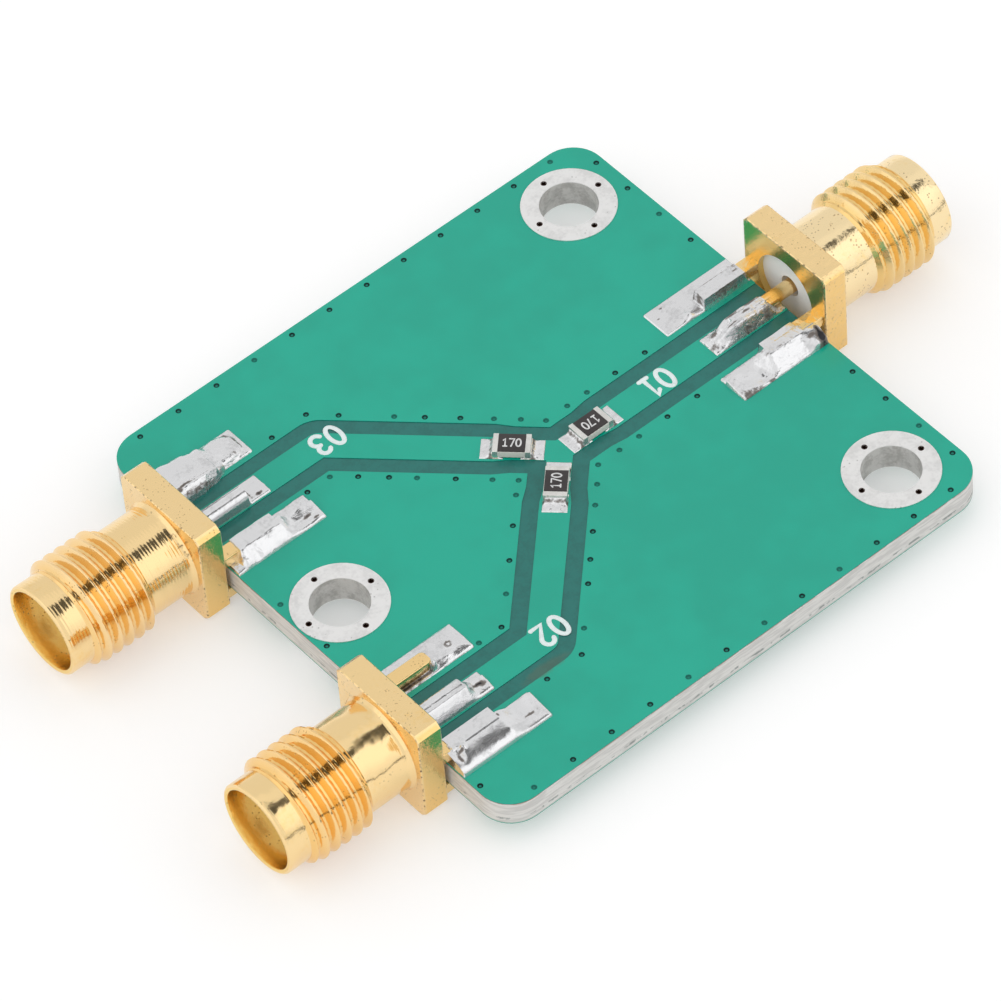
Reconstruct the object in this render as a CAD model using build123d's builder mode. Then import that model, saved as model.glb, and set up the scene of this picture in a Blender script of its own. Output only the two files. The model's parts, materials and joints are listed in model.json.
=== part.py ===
from build123d import *

import os
from math import sqrt

# Three-way resistive power splitter: a square circuit board that carries three edge-mounted
# coaxial connectors, joined by a star of chip resistors. Millimetres, +Z up. The origin is at the
# centre of the board in plan, on the plane of the flanges' undersides, which the part rests on.
# +X runs from the two outputs to the input.

# Board
board_length = 32.5
board_width = 32.3
board_thickness = 1.6
board_corner_radius = 1.9
via_diameter = 0.3
via_sides = 5

# Mounting holes: one in each corner beside the input, and one between the outputs
hole_diameter = 3.2
hole_ring_width = 1.0
corner_hole_inset = 3.5
rear_hole_inset = 2.68
ring_via_count = 4
ring_via_radius = 2.06

# Traces: strips of copper between two shallow channels in the ground plane
star_x = 1.22
output_row_y = 8.88
trace_width = 1.64
trace_width_at_resistor = 1.36
channel_width = 0.9
channel_depth = 0.04
trace_taper_length = 1.0

# Fences of vias: spacing along the board's rim, stations along each trace from the star, and a few
# beside the rear hole, each by its inset from the rear edge and its Y
rim_via_count = 12
rim_via_inset = 0.45
rim_row_margin = 2.2
rim_vias_left_out = (4, 5, 6, 7)
fence_offset = 2.06
input_fence = (0.8, 2.25, 3.6, 5.55, 7.6)
diagonal_outer_fence = (2.2, 3.6, 5.35, 7.2, 8.8, 11.7)
output_1_inner_fence = (3.05, 5.1, 7.4, 9.6)
output_2_inner_fence = (2.0, 3.35, 5.25, 7.25, 8.7, 10.3)
straight_outer_fence = (-6.8, -9.1)
straight_inner_fence = (-8.6, -10.1)
hole_side_fence = ((0.4, 2.0), (0.4, -1.7), (0.3, -13.8))

# Connectors: square flange, four legs that straddle the board, and a threaded barrel
flange_side = 6.35
flange_thickness = 1.5
flange_bevel = 0.3
input_gap = 0.55
output_gap = 0.3
output_axis_y = 8.65
leg_spacing = 5.08
leg_width = 0.85
leg_height = 0.75
leg_length = 3.7
leg_tip_bevel = 0.2
collar_diameter = 5.5
collar_length = 0.15
neck_diameter = 5.2
neck_length = 2.7
thread_diameter = 6.2
thread_length = 3.95
thread_bevel = 0.3
pilot_diameter = 5.3
pilot_length = 1.35
socket_wall = 0.325
socket_depth = 1.93

# Insulator and centre contact
dielectric_diameter = 4.2
dielectric_recess = 0.35
contact_diameter = 1.27
contact_bore_diameter = 0.94
contact_bore_depth = 2.9
contact_slot_width = 0.22
contact_slot_depth = 2.0
contact_shoulder = 0.9
pin_diameter = 0.85
pin_length = 3.7
pin_clearance = 0.035

# Pads and solder
pad_thickness = 0.05
ground_pad_length = 5.88
ground_pad_width = 2.03
ground_pad_offset = 3.04
signal_pad_length = 4.89
signal_pad_width = 1.5
ground_solder_length = 4.5
ground_solder_height = 0.55
signal_solder_length = 4.1
signal_solder_height = 0.42

# Chip resistors
chip_length = 2.0
chip_width = 1.25
chip_height = 0.5
cap_thickness = 0.05
cap_wrap = 0.3
film_thickness = 0.04
film_margin = 0.04
chip_pad_length = 1.25
chip_pad_width = 1.35
chip_pad_span = 3.38
chip_fillet_height = 0.34
chip_fillet_reach = 0.5
input_chip_distance = 2.1
output_chip_distance = 2.48

# Heights, from the resting plane up
axis_z = flange_side / 2
board_top = axis_z - pin_diameter / 2 - pin_clearance
board_bottom = board_top - board_thickness

# Ports: name, the way the barrel points along X, the axis's Y, the pad row's Y, the gap to the board
ports = (
    ("input", 1, 0.0, 0.0, input_gap),
    ("output_1", -1, -output_axis_y, -output_row_y, output_gap),
    ("output_2", -1, output_axis_y, output_row_y, output_gap),
)
# Resistors: name, the branch's direction in degrees, the chip's distance from the star
chips = (
    ("input", 0, input_chip_distance),
    ("output_1", -135, output_chip_distance),
    ("output_2", 135, output_chip_distance),
)

rear_x = -board_length / 2
bend_x = star_x - output_row_y
diagonal_run = output_row_y * sqrt(2)
corner_hole_x = board_length / 2 - corner_hole_inset
corner_hole_y = board_width / 2 - corner_hole_inset
mounting_holes = (
    (corner_hole_x, corner_hole_y),
    (corner_hole_x, -corner_hole_y),
    (rear_x + rear_hole_inset, 0),
)

os.makedirs("parts", exist_ok=True)


def branch_point(direction, along, across):
    """Point of the board's plan, along and across a branch that leaves the star in a direction."""
    ray = Vector(1, 0, 0).rotate(Axis.Z, direction)
    side = Vector(0, 1, 0).rotate(Axis.Z, direction)
    point = Vector(star_x, 0, 0) + ray * along + side * across
    return (point.X, point.Y)


def trace_star(near_half, far_half):
    """Plan of the three traces: narrow at the resistors, wider beyond them, rounded at each bend."""
    with BuildSketch(Plane.XY.offset(board_top)) as star:
        runs = (board_length / 2 - star_x, diagonal_run, diagonal_run)
        for (_, direction, distance), run in zip(chips, runs):
            taper_end = distance + trace_taper_length
            with Locations(Location((star_x, 0, 0), (0, 0, direction))):
                Polygon(
                    (0, near_half),
                    (0, -near_half),
                    (distance, -near_half),
                    (taper_end, -far_half),
                    (run, -far_half),
                    (run, far_half),
                    (taper_end, far_half),
                    (distance, near_half),
                    align=None,
                )
        for row_y in (output_row_y, -output_row_y):
            with Locations((bend_x, row_y)):
                Circle(far_half)
                Rectangle(bend_x - rear_x, 2 * far_half, align=(Align.MAX, Align.CENTER))
    return star.sketch


def via_points():
    """Plan places of every stitching via outside the mounting rings."""
    points = [(rear_x + inset, y) for inset, y in hole_side_fence]
    row_x = board_length / 2 - rim_row_margin
    column_y = board_width / 2 - rim_row_margin
    for place in range(rim_via_count):
        share = 2 * place / (rim_via_count - 1) - 1
        for side in (1, -1):
            points.append((share * row_x, side * (board_width / 2 - rim_via_inset)))
        if place not in rim_vias_left_out:
            points.append((board_length / 2 - rim_via_inset, share * column_y))
    for side in (1, -1):
        points += [branch_point(0, along, side * fence_offset) for along in input_fence]
        points += [branch_point(side * 135, along, -side * fence_offset) for along in diagonal_outer_fence]
        points += [(x, side * (output_row_y + fence_offset)) for x in straight_outer_fence]
        points += [(x, side * (output_row_y - fence_offset)) for x in straight_inner_fence]
    points += [branch_point(-135, along, -fence_offset) for along in output_1_inner_fence]
    points += [branch_point(135, along, fence_offset) for along in output_2_inner_fence]
    return points


# The board: rounded plate, trace channels, stitching vias and plated mounting holes
near_half = trace_width_at_resistor / 2
far_half = trace_width / 2
trace_copper = trace_star(near_half, far_half)
trace_clearing = trace_star(near_half + channel_width, far_half + channel_width)

with BuildPart() as circuit_board:
    with BuildSketch(Plane.XY.offset(board_bottom)):
        RectangleRounded(board_length, board_width, board_corner_radius)
    extrude(amount=board_thickness)
    with BuildSketch(Plane.XY.offset(board_top)):
        add(trace_clearing)
        add(trace_copper, mode=Mode.SUBTRACT)
    extrude(amount=-channel_depth, mode=Mode.SUBTRACT)
    with BuildSketch(Plane.XY.offset(board_top)):
        with Locations(*mounting_holes):
            Circle(hole_diameter / 2)
        with Locations(*via_points()):
            RegularPolygon(via_diameter / 2, via_sides)
        for hole in mounting_holes:
            with Locations(hole):
                with PolarLocations(ring_via_radius, ring_via_count):
                    RegularPolygon(via_diameter / 2, via_sides)
    extrude(amount=-board_thickness, mode=Mode.SUBTRACT)
circuit_board.part.label = "circuit_board"
export_step(circuit_board.part, "parts/circuit_board.step")

# Mounting holes: a tinned ring on each face of the board, with the board's hole and its own four vias
for number, hole in enumerate(mounting_holes, start=1):
    with BuildPart() as hole_plating:
        with BuildSketch(Plane.XY.offset(board_top), Plane.XY.offset(board_bottom - pad_thickness)):
            with Locations(hole):
                Circle(hole_diameter / 2 + hole_ring_width)
                Circle(hole_diameter / 2, mode=Mode.SUBTRACT)
                with PolarLocations(ring_via_radius, ring_via_count):
                    RegularPolygon(via_diameter / 2, via_sides, mode=Mode.SUBTRACT)
        extrude(amount=pad_thickness)
    hole_plating.part.label = f"hole_plating_{number}"
    export_step(hole_plating.part, f"parts/hole_plating_{number}.step")

barrel_start = flange_thickness
thread_start = barrel_start + neck_length
thread_end = thread_start + thread_length
barrel_end = thread_end + pilot_length
reference_plane = barrel_end - socket_depth
socket_diameter = pilot_diameter - 2 * socket_wall
rim_bevel = socket_wall / 3

for port, side, axis_y, row_y, gap in ports:
    edge_x = side * board_length / 2
    face_x = edge_x + side * gap
    # Plane of the flange's inner face, its normal along the barrel, and the plane of the profiles,
    # with the distance from that face along its first axis and the radius along its second
    face = Plane(origin=(face_x, axis_y, axis_z), x_dir=(0, side, 0), z_dir=(side, 0, 0))
    profile_plane = Plane(origin=face.origin, x_dir=(side, 0, 0), z_dir=(0, -side, 0))
    barrel_axis = Axis(origin=face.origin, direction=(side, 0, 0))

    # Four legs, two above and two below the board
    leg_centres = [(face_x - side * leg_length, axis_y + leg_spacing / 2),
                   (face_x - side * leg_length, axis_y - leg_spacing / 2)]
    leg_align = (Align.MIN if side > 0 else Align.MAX, Align.CENTER)
    with BuildPart() as legs:
        for level, height in ((board_top, leg_height), (board_bottom, -leg_height)):
            with BuildSketch(Plane.XY.offset(level)) as leg_plan:
                with Locations(*leg_centres):
                    Rectangle(leg_length + flange_thickness / 3, leg_width, align=leg_align)
                tips = leg_plan.vertices().group_by(Axis.X)[0 if side > 0 else -1]
                chamfer(tips, leg_tip_bevel)
            extrude(amount=height)

    # Body: bevelled square flange, turned barrel, stepped bore and the legs
    with BuildPart() as connector_body:
        with BuildSketch(face) as flange_outline:
            Rectangle(flange_side, flange_side)
            chamfer(flange_outline.vertices(), flange_bevel)
        extrude(amount=flange_thickness)
        with BuildSketch(profile_plane):
            with BuildLine():
                Polyline(
                    (barrel_start / 2, 0),
                    (barrel_start / 2, collar_diameter / 2),
                    (barrel_start, collar_diameter / 2),
                    (barrel_start + collar_length, neck_diameter / 2),
                    (thread_start, neck_diameter / 2),
                    (thread_start + thread_bevel, thread_diameter / 2),
                    (thread_end - thread_bevel, thread_diameter / 2),
                    (thread_end, pilot_diameter / 2),
                    (barrel_end - rim_bevel, pilot_diameter / 2),
                    (barrel_end, pilot_diameter / 2 - rim_bevel),
                    (barrel_end, 0),
                    close=True,
                )
            make_face()
        revolve(axis=barrel_axis)
        add(legs.part)
        with BuildSketch(profile_plane):
            with BuildLine():
                Polyline(
                    (0, 0),
                    (0, dielectric_diameter / 2),
                    (reference_plane, dielectric_diameter / 2),
                    (reference_plane, socket_diameter / 2),
                    (barrel_end, socket_diameter / 2),
                    (barrel_end, 0),
                    close=True,
                )
            make_face()
        revolve(axis=barrel_axis, mode=Mode.SUBTRACT)
    connector_body.part.label = f"connector_body_{port}"
    export_step(connector_body.part, f"parts/connector_body_{port}.step")

    # Insulator: a plain sleeve between the body and the contact
    with BuildPart() as dielectric:
        with BuildSketch(face.offset(dielectric_recess)):
            Circle(dielectric_diameter / 2)
            Circle(contact_diameter / 2, mode=Mode.SUBTRACT)
        extrude(amount=reference_plane - dielectric_recess)
    dielectric.part.label = f"dielectric_{port}"
    export_step(dielectric.part, f"parts/dielectric_{port}.step")

    # Contact: a socket of four spring fingers in front, a thinner pin behind
    with BuildPart() as centre_contact:
        with BuildSketch(profile_plane):
            with BuildLine():
                Polyline(
                    (-pin_length, 0),
                    (-pin_length, pin_diameter / 2),
                    (contact_shoulder, pin_diameter / 2),
                    (contact_shoulder, contact_diameter / 2),
                    (reference_plane, contact_diameter / 2),
                    (reference_plane, contact_bore_diameter / 2),
                    (reference_plane - contact_bore_depth, contact_bore_diameter / 2),
                    (reference_plane - contact_bore_depth, 0),
                    close=True,
                )
            make_face()
        revolve(axis=barrel_axis)
        with BuildSketch(face.offset(reference_plane)):
            Rectangle(2 * contact_diameter, contact_slot_width)
            Rectangle(contact_slot_width, 2 * contact_diameter)
        extrude(amount=-contact_slot_depth, mode=Mode.SUBTRACT)
    centre_contact.part.label = f"centre_contact_{port}"
    export_step(centre_contact.part, f"parts/centre_contact_{port}.step")

    # Solder of the legs: a tinned pad from the board's edge inwards, with a hollow fillet that
    # climbs the leg's sides; the same above and below the board
    for layer, level, up in (("ground", board_top, 1), ("base", board_bottom, -1)):
        for hand, across in (("left", side), ("right", -side)):
            pad_y = row_y + across * ground_pad_offset
            leg_y = axis_y + across * leg_spacing / 2
            with BuildPart() as leg_solder:
                pad_plane = Plane(origin=(edge_x, pad_y, level), x_dir=(-side, 0, 0), z_dir=(0, 0, up))
                with BuildSketch(pad_plane):
                    Rectangle(ground_pad_length, ground_pad_width, align=(Align.MIN, Align.CENTER))
                extrude(amount=pad_thickness)
                shift = (leg_y - pad_y) * pad_plane.y_dir.Y
                for share, width, drift in (
                    (0.0, ground_pad_width, 0.0),
                    (0.4, (ground_pad_width + leg_width) / 2, 0.7),
                    (1.0, leg_width + ground_solder_height / 2, 1.0),
                ):
                    length = ground_solder_length - share * ground_solder_height
                    with BuildSketch(pad_plane.offset(share * ground_solder_height)):
                        with Locations((0, drift * shift)):
                            Rectangle(length, width, align=(Align.MIN, Align.CENTER))
                loft(ruled=True)
                add(legs.part, mode=Mode.SUBTRACT)
            leg_solder.part.label = f"{layer}_solder_{port}_{hand}"
            export_step(leg_solder.part, f"parts/{layer}_solder_{port}_{hand}.step")

    # Solder of the pin: the same form, on the trace's own pad
    with BuildPart() as signal_solder:
        pad_plane = Plane(origin=(edge_x, row_y, board_top), x_dir=(-side, 0, 0), z_dir=(0, 0, 1))
        with BuildSketch(pad_plane):
            Rectangle(signal_pad_length, signal_pad_width, align=(Align.MIN, Align.CENTER))
        extrude(amount=pad_thickness)
        shift = (axis_y - row_y) * pad_plane.y_dir.Y
        for share, width, drift in (
            (0.0, signal_pad_width, 0.0),
            (1.0, pin_diameter + signal_solder_height / 2, 1.0),
        ):
            with BuildSketch(pad_plane.offset(share * signal_solder_height)):
                with Locations((0, drift * shift)):
                    Rectangle(signal_solder_length, width, align=(Align.MIN, Align.CENTER))
        loft(ruled=True)
        add(centre_contact.part, mode=Mode.SUBTRACT)
    signal_solder.part.label = f"signal_solder_{port}"
    export_step(signal_solder.part, f"parts/signal_solder_{port}.step")

# Resistors: each chip lies along its own branch, on two tinned pads
chip_base = board_top + pad_thickness
core_length = chip_length - 2 * cap_thickness
core_height = chip_height - 2 * cap_thickness

for port, direction, distance in chips:
    centre_x, centre_y = branch_point(direction, distance, 0)
    along = Vector(1, 0, 0).rotate(Axis.Z, direction)
    across = Vector(0, 1, 0).rotate(Axis.Z, direction)
    plan = Plane(origin=(centre_x, centre_y, chip_base), x_dir=along, z_dir=(0, 0, 1))
    profile_plane = Plane(origin=(centre_x, centre_y, chip_base), x_dir=along, z_dir=-across)

    with BuildPart() as resistor_body:
        with BuildSketch(plan.offset(cap_thickness)):
            Rectangle(core_length, chip_width)
        extrude(amount=core_height)
    resistor_body.part.label = f"resistor_body_{port}"
    export_step(resistor_body.part, f"parts/resistor_body_{port}.step")

    with BuildPart() as resistor_film:
        with BuildSketch(plan.offset(chip_height - cap_thickness)):
            Rectangle(chip_length - 2 * cap_wrap, chip_width - 2 * film_margin)
        extrude(amount=film_thickness)
    resistor_film.part.label = f"resistor_film_{port}"
    export_step(resistor_film.part, f"parts/resistor_film_{port}.step")

    # End caps: the outline of the whole end less the core, wrapped over the top and under the bottom
    with BuildPart() as resistor_caps:
        with BuildSketch(profile_plane):
            for end in (1, -1):
                with Locations((end * (chip_length - cap_wrap) / 2, chip_height / 2)):
                    Rectangle(cap_wrap, chip_height)
            with Locations((0, chip_height / 2)):
                Rectangle(core_length, core_height, mode=Mode.SUBTRACT)
        extrude(amount=chip_width / 2, both=True)
    resistor_caps.part.label = f"resistor_caps_{port}"
    export_step(resistor_caps.part, f"parts/resistor_caps_{port}.step")

    # Pads with a sloping fillet up the end of each cap
    pad_inner = chip_pad_span / 2 - chip_pad_length
    pad_outer = chip_pad_span / 2
    with BuildPart() as resistor_solder:
        with BuildSketch(plan):
            for end in (1, -1):
                with Locations((end * (pad_inner + pad_outer) / 2, 0)):
                    Rectangle(chip_pad_length, chip_pad_width)
        extrude(amount=-pad_thickness)
        with BuildSketch(profile_plane):
            with BuildLine():
                foot = (chip_length / 2 + chip_fillet_reach, 0)
                heel = (chip_length / 2, 0)
                head = (chip_length / 2, chip_fillet_height)
                hollow = (chip_length / 2 + 0.36 * chip_fillet_reach, 0.42 * chip_fillet_height)
                Line(foot, heel)
                Line(heel, head)
                ThreePointArc(head, hollow, foot)
            make_face()
            mirror(about=Plane.YZ)
        extrude(amount=chip_width / 2, both=True)
    resistor_solder.part.label = f"resistor_solder_{port}"
    export_step(resistor_solder.part, f"parts/resistor_solder_{port}.step")
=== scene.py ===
"""Looks of a three-way resistive power splitter, laid out as an add-on and run as a script.

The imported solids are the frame. The circuit board, the tinned rings, the insulators and the contacts keep their
solids and get a finish; the threaded connector bodies, the solder and the chip resistors are worked out here as
surfaces that stand for theirs. Lengths are millimetres, and become metres where a mesh is made.
"""

import functools
import json
import math

import bpy
import numpy as np
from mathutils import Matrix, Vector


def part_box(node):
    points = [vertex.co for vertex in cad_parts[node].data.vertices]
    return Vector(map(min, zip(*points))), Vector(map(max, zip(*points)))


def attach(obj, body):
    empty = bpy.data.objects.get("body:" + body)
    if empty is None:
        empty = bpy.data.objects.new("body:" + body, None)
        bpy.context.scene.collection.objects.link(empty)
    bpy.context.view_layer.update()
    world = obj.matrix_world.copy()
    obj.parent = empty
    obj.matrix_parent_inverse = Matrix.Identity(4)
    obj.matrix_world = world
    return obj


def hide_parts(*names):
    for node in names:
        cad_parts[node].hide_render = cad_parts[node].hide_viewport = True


bl_info = {
    "name": "Power splitter looks",
    "version": (1, 0, 0),
    "blender": (4, 5, 0),
    "location": "3D View > Sidebar > Splitter",
    "description": "Threads, solder, chip resistors, marks and finishes of a three-way power splitter",
    "category": "Object",
}

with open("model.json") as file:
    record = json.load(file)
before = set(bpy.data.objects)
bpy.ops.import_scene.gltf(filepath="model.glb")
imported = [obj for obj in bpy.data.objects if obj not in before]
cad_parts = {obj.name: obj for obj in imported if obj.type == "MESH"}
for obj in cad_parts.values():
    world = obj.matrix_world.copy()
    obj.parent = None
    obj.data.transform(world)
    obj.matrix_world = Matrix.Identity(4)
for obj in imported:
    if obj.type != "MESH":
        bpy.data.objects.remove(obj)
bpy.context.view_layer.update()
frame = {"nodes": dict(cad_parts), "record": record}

MM = 0.001
BODY = "root"
board_low, board_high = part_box("circuit_board")
BOARD_TOP, BOARD_BOTTOM = board_high.z / MM, board_low.z / MM
BOARD_END, BOARD_SIDE = board_high.x / MM, board_high.y / MM
AXIS_HEIGHT = sum(corner.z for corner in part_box("connector_body_input")) / 2 / MM
# Thickness of the tinned pads and rings on the board
PAD_RISE = 0.05
# The connectors' legs: offset from the axis, half width, height over the board, length past the flange; the pin's top
LEG_ACROSS, LEG_HALF, LEG_RISE, LEG_REACH, PIN_RISE = 2.54, 0.425, 0.75, 3.7, 0.885
# How far the vias lie from the middle of a trace, and from that of a mounting hole
FENCE = 2.06
# The Y of the outputs' traces
ROW = 8.88

# Ports: name, the way the barrel points along X, the axis's Y, the trace's Y, the face's distance from the edge
PORTS = (("input", 1, 0.0, 0.0, 0.55), ("output_1", -1, -8.65, -ROW, 0.3), ("output_2", -1, 8.65, ROW, 0.3))
# Resistors: name, the branch's direction in degrees, the chip's distance from the star
CHIPS = (("input", 0, 2.1), ("output_1", -135, 2.48), ("output_2", 135, 2.48))
# The X of the point where the three traces meet
STAR = 1.22
HOLES = tuple(
    (mount["pos_m"][0] / MM, mount["pos_m"][1] / MM)
    for mount in frame["record"]["mounts"]
    if mount["name"].startswith("mounting_hole")
)


# ---- Surfaces ----


def ease(low, high, value):
    """Zero below low, one above high, and the cubic 3t^2 - 2t^3 of the share t between them."""
    share = np.clip((value - low) / (high - low), 0.0, 1.0)
    return share * share * (3 - 2 * share)


def grid_faces(rows, columns, wrap_rows=False, wrap_columns=False, flip=False):
    """Quads of a grid whose point in row i and column j is number i * columns + j; a wrapped way joins its
    last line to its first, and flip turns every face over."""
    row = np.arange(rows if wrap_rows else rows - 1)
    column = np.arange(columns if wrap_columns else columns - 1)
    i, j = np.meshgrid(row, column, indexing="ij")
    next_i, next_j = (i + 1) % rows, (j + 1) % columns
    quads = np.stack([i * columns + j, i * columns + next_j, next_i * columns + next_j, next_i * columns + j], -1)
    quads = quads.reshape(-1, 4)
    return quads[:, ::-1] if flip else quads


def sheet_faces(rows, columns, flip):
    """Quads of a grid, and one face on its rim that closes it from below."""
    number = np.arange(rows * columns).reshape(rows, columns)
    rim = np.r_[number[0, :-1], number[:-1, -1], number[-1, :0:-1], number[:0:-1, 0]]
    return [*grid_faces(rows, columns, flip=flip), rim if flip else rim[::-1]]


def turned(points, degrees, origin):
    """Points turned about Z and moved to a place."""
    way = math.radians(degrees)
    spin = np.array([[math.cos(way), math.sin(way), 0], [-math.sin(way), math.cos(way), 0], [0, 0, 1]])
    return points @ spin + np.array(origin)


def make_piece(name, parts, materials, stands_for=(), sharp=32.0, marks=None):
    """Joins parts, each an array of points in millimetres with one list of faces for each material, into one
    mesh that rides on the body. marks are named lists of values, one value for each point."""
    points, faces, numbers, start = [], [], [], 0
    for part_points, face_sets in parts:
        for number, face_set in enumerate(face_sets):
            faces += [[int(corner) + start for corner in face] for face in face_set]
            numbers += [number] * len(face_set)
        points.append(part_points)
        start += len(part_points)
    mesh = bpy.data.meshes.new(name)
    mesh.from_pydata((np.concatenate(points) * MM).tolist(), [], faces)
    mesh.polygons.foreach_set("material_index", numbers)
    for material in materials:
        mesh.materials.append(material)
    for mark, values in (marks or {}).items():
        layer = mesh.attributes.new(mark, "FLOAT", "POINT")
        layer.data.foreach_set("value", np.concatenate([np.ravel(part) for part in values]).astype(np.float32))
    mesh.update()
    mesh.shade_smooth()
    mesh.set_sharp_from_angle(angle=math.radians(sharp))
    piece = bpy.data.objects.new(name, mesh)
    bpy.context.scene.collection.objects.link(piece)
    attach(piece, BODY)
    if stands_for:
        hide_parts(*stands_for)


def dress(material, *names):
    """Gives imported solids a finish."""
    for name in names:
        solid = frame["nodes"][name]
        solid.data.materials.clear()
        solid.data.materials.append(material)


# ---- Shader nodes ----


def feed(socket, value):
    """Links a Value to an input socket, or sets the socket to a plain number, vector or opaque colour."""
    if isinstance(value, Value):
        socket.id_data.links.new(value.socket, socket)
    else:
        socket.default_value = (*value, 1.0) if socket.type == "RGBA" else value


class Value:
    """An output socket. What is worked out from it adds nodes to its tree, and is a Value too."""

    def __init__(self, socket):
        self.socket = socket

    def node(self, kind, inputs, output=0, **settings):
        """One output of a new node with its settings and its inputs."""
        made = self.socket.id_data.nodes.new("ShaderNode" + kind)
        for key, value in settings.items():
            setattr(made, key, value)
        for key, value in inputs.items():
            feed(made.inputs[key], value)
        return Value(made.outputs[output])

    def maths(self, operation, a, b=0.0):
        """The result of a Math node."""
        return self.node("Math", {0: a, 1: b}, operation=operation)

    def vector(self, operation, other=(0, 0, 0), output=0):
        """This vector and another in a Vector Math node."""
        return self.node("VectorMath", {0: self, 1: other}, output, operation=operation)

    def axis(self, letter):
        """The X, Y or Z of this vector."""
        return self.node("SeparateXYZ", {0: self}, letter)

    def ramp(self, low, high, out_low=0.0, out_high=1.0):
        """The value carried smoothly from one range to another."""
        inputs = {"Value": self, "From Min": low, "From Max": high, "To Min": out_low, "To Max": out_high}
        return self.node("MapRange", inputs, "Result", interpolation_type="SMOOTHSTEP")

    def blend(self, a, b):
        """The mix of two colours by this mask."""
        return self.node("Mix", {0: self, 6: a, 7: b}, 2, data_type="RGBA")

    def noise(self, scale, detail, distortion=0.0):
        """Noise at this place."""
        inputs = {"Vector": self, "Scale": scale, "Detail": detail, "Distortion": distortion}
        return self.node("TexNoise", inputs, "Fac")

    def group(self, name, **inputs):
        """The output of a shared shader group."""
        return self.node("Group", inputs, node_tree=bpy.data.node_groups[name])

    def attribute(self, name):
        """The piece's own value of that name."""
        return self.node("Attribute", {}, "Fac", attribute_name=name)

    def __add__(self, other):
        return self.maths("ADD", self, other)

    def __sub__(self, other):
        return self.maths("SUBTRACT", self, other)

    def __rsub__(self, other):
        return self.maths("SUBTRACT", other, self)

    def __mul__(self, other):
        return self.maths("MULTIPLY", self, other)

    def __rtruediv__(self, other):
        return self.maths("DIVIDE", other, self)

    def __lt__(self, other):
        return self.maths("LESS_THAN", self, other)

    def __gt__(self, other):
        return self.maths("GREATER_THAN", self, other)

    def __abs__(self):
        return self.maths("ABSOLUTE", self)


class Paint:
    """A new material, with its Object coordinates and its shader's inputs."""

    def __init__(self, name):
        self.material = bpy.data.materials.new(name)
        self.material.use_nodes = True
        nodes = self.material.node_tree.nodes
        self.inputs = nodes["Principled BSDF"].inputs
        self.place = Value(nodes.new("ShaderNodeTexCoord").outputs["Object"])
        self.relief = {}

    def bump(self, height, distance):
        """Puts a height times a distance in metres into the shader's normal, over the bumps before it."""
        normal = height.node("Bump", {"Height": height, "Distance": distance, **self.relief}, "Normal")
        self.relief = {"Normal": normal}
        feed(self.inputs["Normal"], normal)

    def finish(self, base, metallic, rough):
        """Feeds the shader and gives the material."""
        for key, value in (("Base Color", base), ("Metallic", metallic), ("Roughness", rough)):
            feed(self.inputs[key], value)
        return self.material


def shaded(colour, *shares):
    """A colour with its channels multiplied by three shares, or all by one."""
    return tuple(channel * share for channel, share in zip(colour, shares * 3))


def new_group(name, output, **inputs):
    """A shader group of one output, with number inputs and their defaults: its Object coordinates, its inputs
    and its output's socket."""
    group = bpy.data.node_groups.new(name, "ShaderNodeTree")
    for key, value in inputs.items():
        group.interface.new_socket(key, in_out="INPUT", socket_type="NodeSocketFloat").default_value = value
    group.interface.new_socket(output, in_out="OUTPUT", socket_type="NodeSocketFloat")
    given = group.nodes.new("NodeGroupInput").outputs
    place = Value(group.nodes.new("ShaderNodeTexCoord").outputs["Object"])
    return place, [Value(given[key]) for key in inputs], group.nodes.new("NodeGroupOutput").inputs[0]


def mottle_group():
    """Soft mottling: two sizes of noise added, 0.65 of the coarse and 0.35 of the fine."""
    place, (coarse, fine), result = new_group("mottle", "Value", Coarse=300.0, Fine=2500.0)
    feed(result, place.noise(fine, 2.0) * 0.35 + place.noise(coarse, 3.0) * 0.65)


def pits_group():
    """Small pits: one inside a round spot about the centre of each cell of a Voronoi pattern, kept only where
    a coarse noise is above a threshold, and zero between."""
    place, (scale, size, spread), result = new_group("pits", "Mask", Scale=6000.0, Size=0.16, Spread=0.52)
    cells = place.node("TexVoronoi", {"Vector": place, "Scale": scale}, "Distance", feature="F1")
    kept = place.noise(900.0, 2.0).ramp(spread, spread + 0.05)
    feed(result, cells.ramp(size, size * 1.8, 1.0, 0.0) * kept)


def turning_group():
    """Marks of turning: rings about a barrel, the sine of the distance along X over a pitch, made uneven by a
    noise that is stretched around the barrel."""
    place, (pitch, unevenness), result = new_group("turning_marks", "Height", Pitch=0.00018, Unevenness=0.6)
    wave = place.maths("SINE", place.axis("X") * (math.tau / pitch))
    uneven = (place.vector("MULTIPLY", (2.2, 0.25, 0.25)).noise(1500.0, 1.0) - 0.5) * unevenness
    feed(result, wave * 0.08 + uneven)


# ---- Finishes ----


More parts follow.
